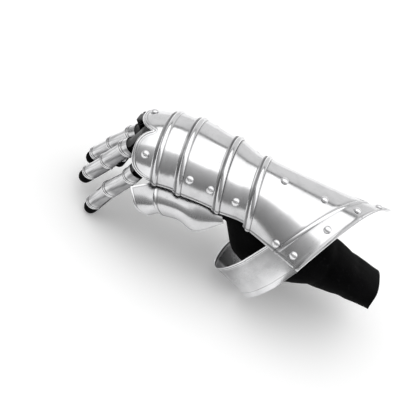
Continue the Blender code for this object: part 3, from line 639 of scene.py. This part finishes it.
def ridge_lines():
    """Stations of a ridge: distance behind the edge, height and painted shade."""
    flank = FLANK_SHARE
    centre, half = 0.5 * (flank + RIDGE_END), 0.5 * (RIDGE_END - flank)
    lines = list(RIDGE_FLANK)
    shoulder = RIDGE_FLANK[-1][1]
    for step in range(9):
        angle = math.pi * step / 8
        place = centre - half * math.cos(angle)
        base = shoulder * (1.0 - step / 8)
        dark = 0.9 if step in (0, 8) else 0.0
        lines.append((place, base + (1.0 - 0.5 * shoulder) * math.sin(angle) * BEAD_SHARE, dark))
    lines += RIDGE_REAR
    return [(place * RIDGE_WIDTH, height * RIDGE_HEIGHT, dark) for place, height, dark in lines]


def edge_turns(count, steps=(0.0, 0.3, 0.6, 0.95, 1.3, 1.7, 2.1, 2.6)):
    """Turns over an arch, close together at its two edges for the rolled edge."""
    first = [step * MM / HAND_ARC for step in steps]
    inner = spaced(first[-1], 1 - first[-1], count)[1:-1]
    return first + inner + [1 - turn for turn in reversed(first)]


def edge_roll(turn):
    """Height of the rolled edge along a plate's lower edges."""
    distance = min(turn, 1 - turn) * HAND_ARC
    return bump_row(distance, ROLL_HALF_WIDTH, ROLL_HALF_WIDTH, ROLL_HEIGHT)


def painted_shade_line(distance, centre, half=0.7 * MM, depth=0.8):
    """Painted shade: a dark line beside a bead."""
    return depth * math.exp(-((distance - centre) / half) ** 2)


def edge_painted_shade(turn):
    """Painted shade: a dark line behind the rolled edge, and a darker reflection low on the plate."""
    distance = min(turn, 1 - turn) * HAND_ARC
    return max(painted_shade_line(distance, 2.2 * MM), painted_shade_line(distance, 0.0, LOW_PAINTED_SHADE_REACH, LOW_PAINTED_SHADE))


def build_lames():
    turns = edge_turns(100)
    across = [turn * HAND_ARC for turn in turns]
    for index, name in enumerate(("knuckle_lame", "hand_lame", "wrist_lame")):
        front, rear = ridge_x(index), ridge_x(index + 1) + TUCK
        stations = [(front + step, LAP + rise, dark) for step, rise, dark in ridge_lines()]
        for x in spaced(stations[-1][0], rear, 18)[1:]:
            stations.append((x, lame_offset(index, x), 0.0))
        rows = [[hand_shell(x, turn, offset + edge_roll(turn) * min(1.0, (rear - x) / TUCK))
                 for turn in turns] for x, offset, _ in stations]
        painted_shade = [[max(dark, edge_painted_shade(turn)) for turn in turns] for _, _, dark in stations]
        plate(f"steel_{name}", name, rows, painted_shade, across)


def outline_distance(points, outline):
    """Distance of each flat point to an outline given as a polyline."""
    starts, ends = outline[:-1], outline[1:]
    spans = ends - starts
    lengths = np.maximum((spans ** 2).sum(axis=1), 1e-12)
    share = ((points[:, None, :] - starts[None]) * spans[None]).sum(axis=2) / lengths[None]
    share = np.clip(share, 0.0, 1.0)
    nearest = starts[None] + spans[None] * share[..., None]
    return np.sqrt(((points[:, None, :] - nearest) ** 2).sum(axis=2)).min(axis=1)


def build_knuckle_plate():
    turns = spaced(0.0, 1.0, 181)
    reach = [lobe_reach(turn) for turn in turns]
    outline = np.array([(-far, turn * HAND_ARC) for far, turn in zip(reach, turns)])
    shares = [1.0 - (step / 34) ** 1.35 for step in range(35)]
    flat = np.array([(-share * far, turn * HAND_ARC) for share in shares for far, turn in zip(reach, turns)])
    distance = outline_distance(flat, outline).reshape(len(shares), len(turns))
    rows, painted_shade = [], []
    for share, line in zip(shares, distance):
        row, dark = [], []
        for turn, far, away in zip(turns, reach, line):
            rise = bump_row(away, 0.7 * MM, 0.75 * MM, 0.5 * MM)
            rise += bump_row(away, 3.4 * MM, 0.8 * MM, 0.35 * MM)
            row.append(hand_shell(ridge_x(0) - share * far, turn, rise))
            # painted shade: dark lines beside the knuckle plate's two edge beads
            dark.append(painted_shade_line(away, 1.9 * MM, 0.5 * MM) + painted_shade_line(away, 4.5 * MM, 0.6 * MM, 0.5))
        rows.append(row)
        painted_shade.append(dark)
    # rows tucked under the next lame get painted shade
    for step in (0.35, 0.7, 1.0):
        rows.append([hand_shell(ridge_x(0) + step * TUCK, turn) for turn in turns])
        painted_shade.append([0.3] * len(turns))
    plate("steel_knuckle_plate", "knuckle_plate", rows, painted_shade, [turn * HAND_ARC for turn in turns])


def build_cuff():
    turns = edge_turns(150)
    lengths = [cuff_length(turn) for turn in turns]
    rows, painted_shade = [], []

    def add_row(alongs, rise, dark, rolled=True):
        rows.append([cuff_shell(turn, along, rise + (edge_roll(turn) if rolled else 0.0))
                     for turn, along in zip(turns, alongs)])
        painted_shade.append([max(dark, edge_painted_shade(turn)) if rolled else dark for turn in turns])

    for step, rise, dark in ridge_lines():
        add_row([step] * len(turns), rise, dark)
    start = ridge_lines()[-1][0]
    for share in spaced(0.0, 1.0, 22)[1:-1]:
        add_row([start + share * (length - RIM_BAND - BAND_WIDTH - start) for length in lengths], 0.0, 0.0)
    for back, rise, dark in BAND_BEAD:
        add_row([length - RIM_BAND - back * BAND_WIDTH for length in lengths], rise * BAND_HEIGHT, dark)
    for share in spaced(0.0, 1.0, 9)[1:-1]:
        back = (1 - share) * (RIM_BAND - BAND_WIDTH) + share * RIM_LIP[0][0] * LIP
        add_row([length - back for length in lengths], 0.0, 0.0)
    for back, rise, dark in RIM_LIP:
        add_row([length - back * LIP for length in lengths], rise * LIP, dark, rolled=False)
    plate("steel_cuff_plate", "cuff_plate", rows, painted_shade, [turn * CUFF_ARC for turn in turns])


def build_inner_plate():
    foot = math.degrees(math.asin(FOOT_SHARE))
    free = spaced(5.0, -foot, 60) + spaced(-foot, foot - 180.0, 12)[1:]
    free += spaced(foot - 180.0, -134.0, 14)[1:]
    tucked = spaced(3.0 / CUFF_STEPS, 0.0, 10)
    profile = [(back * MM / INNER_WIDTH, rise * BEAD_HEIGHT, dark) for back, rise, dark in INNER_BEADS]
    # painted shade: darker toward the inner plate's front, fading toward its rim
    profile += [(share, 0.0, INNER_PAINTED_SHADE * (1 - share)) for share in spaced(0.12, 0.84, 16)]
    # a painted dark line where the rim's lip begins
    for step in range(9):
        share = 0.87 + 0.13 * step / 8
        profile.append((share, 0.7 * LIP * (step / 8) ** 2, 0.5 if step == 1 else 0.0))
    rows, painted_shade = [], []
    for share, rise, dark in profile:
        along = INNER_SEAM_START + share * (1 - INNER_SEAM_START)
        row = [cuff_shell(turn, cuff_length(turn) * along, -SEAM_GAP) for turn in tucked]
        row += [inner_ring_point(share, angle, rise) for angle in free]
        row += [cuff_shell(1 - turn, cuff_length(1 - turn) * along, -SEAM_GAP) for turn in reversed(tucked)]
        rows.append(list(reversed(row)))
        painted_shade.append([dark] * len(row))
    run = [0.0]
    middle = rows[len(rows) // 2]
    for before, after in zip(middle, middle[1:]):
        run.append(run[-1] + (after - before).length)
    plate("steel_cuff_inner_plate", "cuff_inner_plate", rows, painted_shade, run, side=-1.0)


def finger_plate(name, digit, front, front_offset, body):
    """Half tube over a finger, with two fine beads behind its rounded front edge."""
    angles = spaced(-PLATE_WRAP, PLATE_WRAP, 41)
    stations = [(front - back * MM, front_offset + rise * BEAD_HEIGHT, dark)
                for back, rise, dark in FINGER_BEADS]
    last = stations[-1]
    rest = [(last[0], front_offset, 0.1)]
    rest += [(along, offset, 0.0) for along, offset in body if along < last[0]]
    for before, after in zip(rest, rest[1:]):
        for step in range(1, 7):
            share = step / 6
            stations.append((before[0] + share * (after[0] - before[0]),
                             before[1] + share * (after[1] - before[1]), 0.0))
    corner = CORNER_SHARE * digit.radius
    rows, painted_shade = [], []
    for along, offset, dark in stations:
        depth = corner * max(0.0, 1.0 - (front - along) / CORNER_FADE)
        rows.append([digit.surface(along - depth * abs(angle / PLATE_WRAP) ** 3, angle,
                                   offset + finger_edge(angle, digit)) for angle in angles])
        # painted shade: dark lines by the beads, and a painted dark reflection down the sides
        painted_shade.append([max(dark, side_painted_shade(angle, (front - along) / MM)) for angle in angles])
    across = [math.radians(angle) * digit.radius for angle in angles]
    plate(f"steel_{name}", name, rows, painted_shade, across, FINGER_SHEET, edge=0.2 * MM, finish=FINGER_STEEL)


def side_painted_shade(angle, back):
    """Painted dark reflection down the sides of a finger plate, behind its beads."""
    low = unit((abs(angle) - SIDE_PAINTED_SHADE_START) / SIDE_PAINTED_SHADE_SPAN)
    behind = unit((back - SIDE_PAINTED_SHADE_BACK) / SIDE_PAINTED_SHADE_FADE)
    return SIDE_PAINTED_SHADE * low * behind


def finger_edge(angle, digit):
    """Slight outward turn of a finger plate's long edges."""
    distance = math.radians(PLATE_WRAP - abs(angle)) * digit.radius
    return bump_row(distance, 0.4 * MM, 1.2 * MM, 0.3 * MM)


def build_finger_plates(digits):
    for name in [row[0] for row in FINGERS]:
        digit = digits[name]
        over_strap = FINGER_SEAT + STRAP + 1.5 * GAP
        bend = BEND_REACH * digit.radius
        start = 0.0
        for number, size in enumerate(digit.sizes):
            front = start + size
            if number == 0:
                offset = over_strap
                body = [(digit.bare, over_strap)]
            else:
                last = number == len(digit.sizes) - 1
                offset = FINGER_SEAT + (0.5 * GAP if last else FINGER_LAP)
                body = [(front - 2.5 * BEAD_WIDTH, offset), (start + bend, FINGER_SEAT),
                        (start, FINGER_SEAT), (start - bend, FINGER_SEAT)]
            finger_plate(f"{name}_plate_{number + 1}", digit, front, offset, body)
            start = front


def build_thumb_plates():
    across = spaced(0.0, 1.0, 49)
    for name, table, rounding in (("thumb_plate_1", THUMB_BASE, THUMB_BASE_ROUND),
                                  ("thumb_plate_2", THUMB_TIP, THUMB_TIP_ROUND)):
        starts = [rounding * max(0.0, 1 - 2 * t) ** 2 for t in across]
        rows, painted_shade = [], []
        width = 0.9 * HAND_HALF_WIDTH
        for share in [0.0, 0.008, 0.016, 0.026, 0.036, 0.05] + spaced(0.07, 1.0, 40):
            row, dark = [], []
            for s, t in zip(starts, across):
                place = s + (1 - s) * share
                front = share * width
                side = min(t, 1 - t) * width
                away = min(front, side)
                rise = bump_row(away, 0.6 * MM, 0.9 * MM, 0.4 * MM)
                row.append(thumb_surface(table, place, t, rise))
                # painted shade: a dark line by the edge bead and a darker reflection rising toward the upper
                # edge
                low = unit((t - THUMB_PAINTED_SHADE_START) / THUMB_PAINTED_SHADE_SPAN) if away > THUMB_PAINTED_SHADE_EDGE else 0.0
                dark.append(max(painted_shade_line(away, 2.0 * MM), THUMB_PAINTED_SHADE + THUMB_PAINTED_SHADE_RISE * low))
            rows.append(row)
            painted_shade.append(dark)
        plate(f"steel_{name}", name, rows, painted_shade, [t * width for t in across], FINGER_SHEET, edge=0.2 * MM)


def build_rivets():
    """Domed heads with a low collar and the small dimple that the setting tool leaves."""
    profile = [(0.0, 0.93), (0.08, 0.94), (0.14, 0.99)]
    dome = [math.radians(angle) for angle in range(78, 11, -8)]
    profile += [(math.cos(angle), math.sin(angle)) for angle in dome]
    profile += [(0.985, 0.08), (RIVET_FOOT / RIVET_RADIUS, 0.0), (0.0, 0.0)]
    for name, point, normal in rivet_places():
        bm = bmesh.new()
        verts = [bm.verts.new((radius * RIVET_RADIUS, 0.0, z * RIVET_HEIGHT)) for radius, z in profile]
        edges = [bm.edges.new(pair) for pair in zip(verts, verts[1:])]
        bmesh.ops.spin(bm, geom=verts + edges, axis=(0, 0, 1), cent=(0, 0, 0), angle=2 * math.pi, steps=40)
        bmesh.ops.remove_doubles(bm, verts=bm.verts, dist=0.01 * MM)
        bmesh.ops.recalc_face_normals(bm, faces=bm.faces)
        turn = normal.to_track_quat("Z", "Y").to_matrix().to_4x4()
        bm.transform(Matrix.Translation(point + normal * GAP) @ turn)
        mesh = mesh_from(bm, f"head_{name}")
        dress(f"head_{name}", mesh, RIVET_STEEL, f"rivet_{name}")
        mesh.set_sharp_from_angle(angle=math.radians(60))


def build_straps(digits):
    steps = spaced(-1.0, 1.0, 17)
    for name, side, *_ in FINGERS:
        digit = digits[name]
        middle = 0.5 + STRAP_SPREAD * side
        turns = [middle + step * STRAP_TURN for step in steps]
        keys = []
        for share in STRAP_STATIONS[:4 if side > 0 else 3]:
            show = STRAP_SHOW if share == 1.0 else 0.0
            keys.append([hand_shell(ridge_x(0) - share * LOBE_REACH - show, turn, -STRAP_GAP)
                         for turn in turns])
        seat_height = FINGER_SEAT + STRAP + 0.5 * GAP
        first = min(0.25 * digit.radius, digit.bare - 0.5 * digit.radius)
        for along in (first, 0.5 * (first + digit.bare), digit.bare + 0.45 * digit.radius):
            keys.append([digit.surface(along, step * STRAP_WRAP, seat_height) for step in steps])
        rows = []
        for before, after in zip(keys, keys[1:]):
            for step in range(6):
                rows.append([a.lerp(b, step / 6) for a, b in zip(before, after)])
        rows.append(keys[-1])
        painted_shade = [[0.0] * len(steps) for _ in rows]
        grain = grain_of(rows, [step * STRAP_HALF_WIDTH for step in steps])
        mesh = sheet_mesh(f"leather_{name}_strap", rows, painted_shade, grain)
        piece = dress(f"leather_{name}_strap", mesh, STRAP_LEATHER, f"{name}_strap")
        thicken(piece, STRAP, 1.0, 0.35 * MM)


def add_tube(bm, rings):
    """Closed tube through rings of points."""
    lines = [[bm.verts.new(point) for point in ring] for ring in rings]
    for near, far in zip(lines, lines[1:]):
        for i in range(len(near)):
            j = (i + 1) % len(near)
            bm.faces.new((near[i], far[i], far[j], near[j]))
    bm.faces.new(lines[0])
    bm.faces.new(list(reversed(lines[-1])))


def palm_rings(sides=72):
    rings = []
    for stop in [0.0, 0.006, 0.012, 0.02, 0.03] + spaced(0.045, 1.0, 70) + [1.03]:
        drop, width, thickness, twist = smooth_row(GLOVE_SECTIONS, stop)
        half, thick = PALM_HALF_WIDTH * width, PALM_HALF_THICKNESS * thickness
        x = GLOVE_FRONT_X + stop * GLOVE_LENGTH
        turn = math.radians(twist)
        ring = []
        for i in range(sides):
            angle = 2 * math.pi * i / sides
            c, s = math.cos(angle), math.sin(angle)
            y = half * math.copysign(abs(c) ** SQUARENESS, c)
            z = thick * math.copysign(abs(s) ** SQUARENESS, s)
            ring.append(Vector((x, y * math.cos(turn) - z * math.sin(turn),
                                PALM_Z - GLOVE_DROP * drop + y * math.sin(turn) + z * math.cos(turn))))
        rings.append(ring)
    return rings


def digit_rings(digit, root, sides=28):
    first = digit.frame(0.0)
    rings = []
    for share in (0.0, 0.3, 0.55, 0.8):
        centre = root.lerp(first[0], share)
        rings.append([centre + (first[2] * math.cos(t) + first[3] * math.sin(t)) * digit.radius
                      for t in (2 * math.pi * k / sides for k in range(sides))])
    end = digit.length
    for along in spaced(0.0, end - digit.radius, 50):
        rings.append([digit.surface(along, 360.0 * k / sides) for k in range(sides)])
    for angle in (15.0, 30.0, 45.0, 60.0, 75.0, 85.0):
        along = end - digit.radius + digit.radius * math.sin(math.radians(angle))
        rim = digit.radius * (1 - math.cos(math.radians(angle)))
        rings.append([digit.surface(along, 360.0 * k / sides, -rim) for k in range(sides)])
    return rings


def crease(point):
    """Depth of the folds that cross the leather cuff on a slant."""
    depth = 0.0
    for place, lean, width, size in CREASES:
        away = (point.x - place - lean * (point.z + 20 * MM)) / width
        wander = 0.8 * noise.noise(point * 30.0 + Vector((place * 100, 0.0, 0.0)))
        depth += size * math.exp(-(away + wander) ** 2)
    return depth


def build_glove(digits):
    """One hollow skin: tubes joined by a remesh, relaxed, wrinkled and given the leather's thickness."""
    bm = bmesh.new()
    add_tube(bm, palm_rings())
    for name, digit in digits.items():
        start = digit.frame(0.0)[0]
        inside = Vector((GLOVE_FRONT_X + FINGER_ROOT_DEPTH, start.y * ROOT_SPREAD, PALM_Z))
        if name == "thumb":
            inside = start + Vector(THUMB_ROOT)
        add_tube(bm, digit_rings(digit, inside))
    bmesh.ops.recalc_face_normals(bm, faces=bm.faces)
    rough = mesh_from(bm, "glove_shapes")
    draft = add_object("glove_draft", rough)
    remesh = draft.modifiers.new("join", "REMESH")
    remesh.mode = "VOXEL"
    remesh.voxel_size = GLOVE_VOXEL
    relax = draft.modifiers.new("relax", "SMOOTH")
    relax.factor = 0.5
    relax.iterations = 4
    bpy.context.view_layer.update()
    graph = bpy.context.evaluated_depsgraph_get()
    mesh = bpy.data.meshes.new_from_object(draft.evaluated_get(graph))
    bpy.data.objects.remove(draft)
    bpy.data.meshes.remove(rough)
    bm = bmesh.new()
    bm.from_mesh(mesh)
    bm.normal_update()
    end = GLOVE_FRONT_X + GLOVE_LENGTH
    moves = []
    for vert in bm.verts:
        point = vert.co
        tail = unit((point.x - TAIL_START) / TAIL_FADE)
        swell = 1.1 * MM * noise.noise(point * 22.0) + 0.4 * MM * noise.noise(point * 65.0)
        moves.append(vert.normal * (tail * (swell - crease(point)) - (1 - tail) * 0.15 * MM))
    for vert, move in zip(bm.verts, moves):
        vert.co += move
    everything = bm.verts[:] + bm.edges[:] + bm.faces[:]
    bmesh.ops.bisect_plane(bm, geom=everything, plane_co=(end, 0.0, 0.0), plane_no=(1.0, 0.0, 0.0),
                           clear_outer=True)
    for vert in bm.verts:
        near_end = unit(1.0 - (end - vert.co.x) / TAIL_ROUNDING)
        aside = abs(vert.co.y) / TAIL_HALF_WIDTH
        vert.co.x -= TAIL_CORNER * near_end ** 2 * min(aside, 1.0) ** 4
    bm.to_mesh(mesh)
    bm.free()
    mesh.name = "suede_glove"
    piece = dress("suede_glove", mesh, SUEDE, "glove")
    solid = piece.modifiers.new("thickness", "SOLIDIFY")
    solid.thickness = LEATHER
    solid.offset = -1.0
    solid.use_rim = True


def new_material(name, colour, metallic, roughness):
    material = bpy.data.materials.new(name)
    material.use_nodes = True
    tree = material.node_tree
    shader = tree.nodes["Principled BSDF"]
    shader.inputs["Base Color"].default_value = (*colour, 1.0)
    shader.inputs["Metallic"].default_value = metallic
    shader.inputs["Roughness"].default_value = roughness
    return material, tree, shader


def add_node(tree, kind):
    return tree.nodes.new(f"ShaderNode{kind}")


def noise_node(tree, source, scale, detail=3.0, stretch=(1.0, 1.0, 1.0)):
    mapping = add_node(tree, "Mapping")
    mapping.inputs["Scale"].default_value = stretch
    tree.links.new(source, mapping.inputs["Vector"])
    texture = add_node(tree, "TexNoise")
    texture.inputs["Scale"].default_value = scale
    texture.inputs["Detail"].default_value = detail
    tree.links.new(mapping.outputs["Vector"], texture.inputs["Vector"])
    return texture.outputs["Fac"]


def ranged(tree, source, low, high, to_low, to_high):
    """A value moved from one range to another, held at its ends."""
    made = add_node(tree, "MapRange")
    for key, value in (("From Min", low), ("From Max", high), ("To Min", to_low), ("To Max", to_high)):
        made.inputs[key].default_value = value
    tree.links.new(source, made.inputs["Value"])
    return made.outputs["Result"]


def combine(tree, operation, first, second):
    made = add_node(tree, "Math")
    made.operation = operation
    for slot_number, value in enumerate((first, second)):
        if isinstance(value, float):
            made.inputs[slot_number].default_value = value
        else:
            tree.links.new(value, made.inputs[slot_number])
    return made.outputs["Value"]


def blend_colours(tree, factor, first, second):
    made = add_node(tree, "Mix")
    made.data_type = "RGBA"
    tree.links.new(factor, made.inputs[0])
    for slot_number, value in ((6, first), (7, second)):
        if isinstance(value, tuple):
            made.inputs[slot_number].default_value = (*value, 1.0)
        else:
            tree.links.new(value, made.inputs[slot_number])
    return made.outputs[2]


def add_bump(tree, height, distance, strength, below=None):
    made = add_node(tree, "Bump")
    made.inputs["Strength"].default_value = strength
    made.inputs["Distance"].default_value = distance
    tree.links.new(height, made.inputs["Height"])
    if below is not None:
        tree.links.new(below, made.inputs["Normal"])
    return made.outputs["Normal"]


def make_steel(name, colour, dirt_and_shade_colour, roughness, painted_reflection_streaks=0.0):
    """Polished sheet: hammer waves, fine polishing lines, haze, dark specks, and the painted shade of the
    painted_shade attribute: dark lines beside the beads and darker reflections low on the plates.

    painted_reflection_streaks is how far dark bands painted along the plate, standing in for reflections,
    tone it down.
    """
    material, tree, shader = new_material(name, colour, 1.0, roughness)
    place = add_node(tree, "TexCoord").outputs["Object"]
    flat = add_node(tree, "Attribute")
    flat.attribute_name = "grain"
    shade_attribute = add_node(tree, "Attribute")
    shade_attribute.attribute_name = "painted_shade"
    haze = noise_node(tree, place, 38.0, 4.0)
    specks = noise_node(tree, place, 420.0, 2.0)
    lines = noise_node(tree, flat.outputs["Vector"], 240.0, 3.0, (9.0, 0.6, 1.0))
    waves = noise_node(tree, place, 26.0, 1.0)
    patches = ranged(tree, haze, 0.4, 0.68, 0.0, 1.0)
    # painted shade: the painted_shade attribute, broken up a little by the haze
    held = combine(tree, "MULTIPLY", shade_attribute.outputs["Fac"], ranged(tree, haze, 0.25, 0.6, 0.75, 1.0))
    spots = ranged(tree, specks, 0.68, 0.76, 0.0, 0.35)
    toned = blend_colours(tree, combine(tree, "MULTIPLY", patches, 0.5), colour,
                          tuple(0.72 * value for value in colour))
    # painted reflection: dark bands stretched along the plate, as a polished tube reflects its dark
    # surroundings
    mottled = noise_node(tree, flat.outputs["Vector"], 75.0, 2.0, (0.25, 2.6, 1.0))
    mottled = ranged(tree, mottled, 0.47, 0.60, 0.0, painted_reflection_streaks)
    toned = blend_colours(tree, mottled, toned, dirt_and_shade_colour)
    # painted shade laid over the steel's colour
    shaded = blend_colours(tree, held, toned, dirt_and_shade_colour)
    tree.links.new(blend_colours(tree, spots, shaded, dirt_and_shade_colour), shader.inputs["Base Color"])
    fine = combine(tree, "ADD", ranged(tree, lines, 0.3, 0.7, roughness - 0.035, roughness + 0.05),
                   combine(tree, "MULTIPLY", patches, 0.06))
    rough = combine(tree, "ADD", fine, combine(tree, "MULTIPLY", held, 0.35))
    tree.links.new(rough, shader.inputs["Roughness"])
    broad = add_bump(tree, waves, 1.0 * MM, 0.12)
    tree.links.new(add_bump(tree, lines, 0.02 * MM, 0.45, broad), shader.inputs["Normal"])
    return material


def make_suede():
    """Black suede: short matt nap with brushed patches and rubbed, paler specks."""
    material, tree, shader = new_material("black_suede", (0.006, 0.006, 0.007), 0.0, 0.95)
    place = add_node(tree, "TexCoord").outputs["Object"]
    brushed = noise_node(tree, place, 45.0, 5.0)
    nap = noise_node(tree, place, 1500.0, 3.0)
    mottled = noise_node(tree, place, 210.0, 3.0)
    tone = ranged(tree, brushed, 0.35, 0.7, 0.0, 1.0)
    base = blend_colours(tree, tone, (0.0012, 0.0012, 0.0014), (0.0035, 0.0035, 0.0038))
    worn = ranged(tree, mottled, 0.62, 0.8, 0.0, 0.5)
    tree.links.new(blend_colours(tree, worn, base, (0.018, 0.018, 0.019)), shader.inputs["Base Color"])
    shader.inputs["Sheen Weight"].default_value = 0.02
    shader.inputs["Sheen Roughness"].default_value = 0.55
    shader.inputs["Specular IOR Level"].default_value = 0.04
    soft = add_bump(tree, mottled, 0.5 * MM, 0.35)
    tree.links.new(add_bump(tree, nap, 0.25 * MM, 0.6, soft), shader.inputs["Normal"])
    return material


def make_strap_leather():
    """Smooth black leather with a fine grain and worn, glossier ridges."""
    material, tree, shader = new_material("black_leather", (0.012, 0.012, 0.013), 0.0, 0.36)
    place = add_node(tree, "TexCoord").outputs["Object"]
    cells = add_node(tree, "TexVoronoi")
    cells.feature = "DISTANCE_TO_EDGE"
    cells.inputs["Scale"].default_value = 900.0
    tree.links.new(place, cells.inputs["Vector"])
    scuffs = noise_node(tree, place, 160.0, 4.0)
    tone = ranged(tree, scuffs, 0.45, 0.75, 0.0, 1.0)
    base = blend_colours(tree, tone, (0.008, 0.008, 0.009), (0.035, 0.034, 0.034))
    tree.links.new(base, shader.inputs["Base Color"])
    tree.links.new(ranged(tree, scuffs, 0.3, 0.7, 0.28, 0.5), shader.inputs["Roughness"])
    grain = ranged(tree, cells.outputs["Distance"], 0.0, 0.12, 0.0, 1.0)
    tree.links.new(add_bump(tree, grain, 0.08 * MM, 0.5), shader.inputs["Normal"])
    return material


def build_floor():
    bm = bmesh.new()
    bmesh.ops.create_grid(bm, x_segments=1, y_segments=1, size=FLOOR_HALF_SIZE)
    mesh = mesh_from(bm, "studio_floor")
    floor = add_object("studio_floor", mesh)
    material, _, shader = new_material("white_paper", PAPER_COLOUR, 0.0, 0.8)
    shader.inputs["Specular IOR Level"].default_value = 0.1
    shader.inputs["Emission Color"].default_value = (1.0, 1.0, 1.0, 1.0)
    shader.inputs["Emission Strength"].default_value = PAPER_GLOW
    mesh.materials.append(material)


def build_world():
    """Studio all round: a broad white box above, dark below it, a dark line and pale walls behind."""
    world = bpy.data.worlds.new("studio")
    bpy.context.scene.world = world
    world.use_nodes = True
    tree = world.node_tree
    background = tree.nodes["Background"]
    parts = add_node(tree, "SeparateXYZ")
    tree.links.new(add_node(tree, "TexCoord").outputs["Generated"], parts.inputs["Vector"])
    toward = combine(tree, "MULTIPLY", parts.outputs["Y"], -1.0)
    angle = combine(tree, "ARCTAN2", parts.outputs["Z"], toward)
    share = ranged(tree, angle, -math.pi, math.pi, 0.0, 1.0)
    ramp = add_node(tree, "ValToRGB")
    tree.links.new(share, ramp.inputs["Fac"])
    stops = ramp.color_ramp.elements
    while len(stops) > 1:
        stops.remove(stops[-1])
    for number, (degrees, value) in enumerate(STUDIO_BANDS):
        place = (degrees + 0.5 * FULL_TURN) / FULL_TURN
        stop = stops[0] if number == 0 else stops.new(place)
        stop.position = place
        stop.color = (*[value / STUDIO_PEAK] * 3, 1.0)
    front = ranged(tree, parts.outputs["X"], *FRONT_FALL)
    rear = ranged(tree, parts.outputs["X"], *REAR_FALL)
    fall = combine(tree, "MULTIPLY", front, rear)
    tree.links.new(ramp.outputs["Color"], background.inputs["Color"])
    tree.links.new(combine(tree, "MULTIPLY", fall, STUDIO_PEAK), background.inputs["Strength"])


def build_camera():
    azimuth, elevation, roll = (math.radians(angle)
                                for angle in (CAMERA_AZIMUTH, CAMERA_ELEVATION, CAMERA_ROLL))
    outward = Vector((-math.sin(azimuth) * math.cos(elevation), -math.cos(azimuth) * math.cos(elevation),
                      math.sin(elevation)))
    level = Vector((math.cos(azimuth), -math.sin(azimuth), 0.0))
    upright = outward.cross(level)
    right = level * math.cos(roll) + upright * math.sin(roll)
    up = upright * math.cos(roll) - level * math.sin(roll)
    target = Vector(CAMERA_POINT) + right * CAMERA_TARGET[0] + up * CAMERA_TARGET[1]
    lens = bpy.data.cameras.new("photo_camera")
    lens.lens = CAMERA_LENS
    lens.sensor_width = SENSOR_WIDTH
    camera = add_object("photo_camera", lens)
    place = Matrix((right, up, outward)).transposed().to_4x4()
    place.translation = target + outward * CAMERA_DISTANCE
    camera.matrix_world = place
    bpy.context.scene.camera = camera


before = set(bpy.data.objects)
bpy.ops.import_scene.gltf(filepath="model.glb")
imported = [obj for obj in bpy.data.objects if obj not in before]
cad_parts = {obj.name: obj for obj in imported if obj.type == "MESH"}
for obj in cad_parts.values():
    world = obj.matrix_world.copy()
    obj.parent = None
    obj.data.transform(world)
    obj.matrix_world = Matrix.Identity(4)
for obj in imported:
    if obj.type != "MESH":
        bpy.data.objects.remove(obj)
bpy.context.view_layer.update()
REST = rest_matrix()
STEEL = make_steel("polished_steel", (0.80, 0.80, 0.81), (0.05, 0.05, 0.052), 0.13)
FINGER_STEEL = make_steel("finger_steel", (0.78, 0.78, 0.79), (0.03, 0.03, 0.032), 0.12, painted_reflection_streaks=0.5)
RIVET_STEEL = make_steel("rivet_steel", (0.85, 0.85, 0.86), (0.10, 0.10, 0.10), 0.27)
SUEDE = make_suede()
STRAP_LEATHER = make_strap_leather()
bpy.context.scene.view_settings.view_transform = "Standard"

all_digits = make_digits()
build_camera()
build_world()
build_floor()
build_lames()
build_knuckle_plate()
build_cuff()
build_inner_plate()
build_finger_plates(all_digits)
build_thumb_plates()
build_rivets()
build_straps(all_digits)
build_glove(all_digits)

bpy.context.view_layer.update()
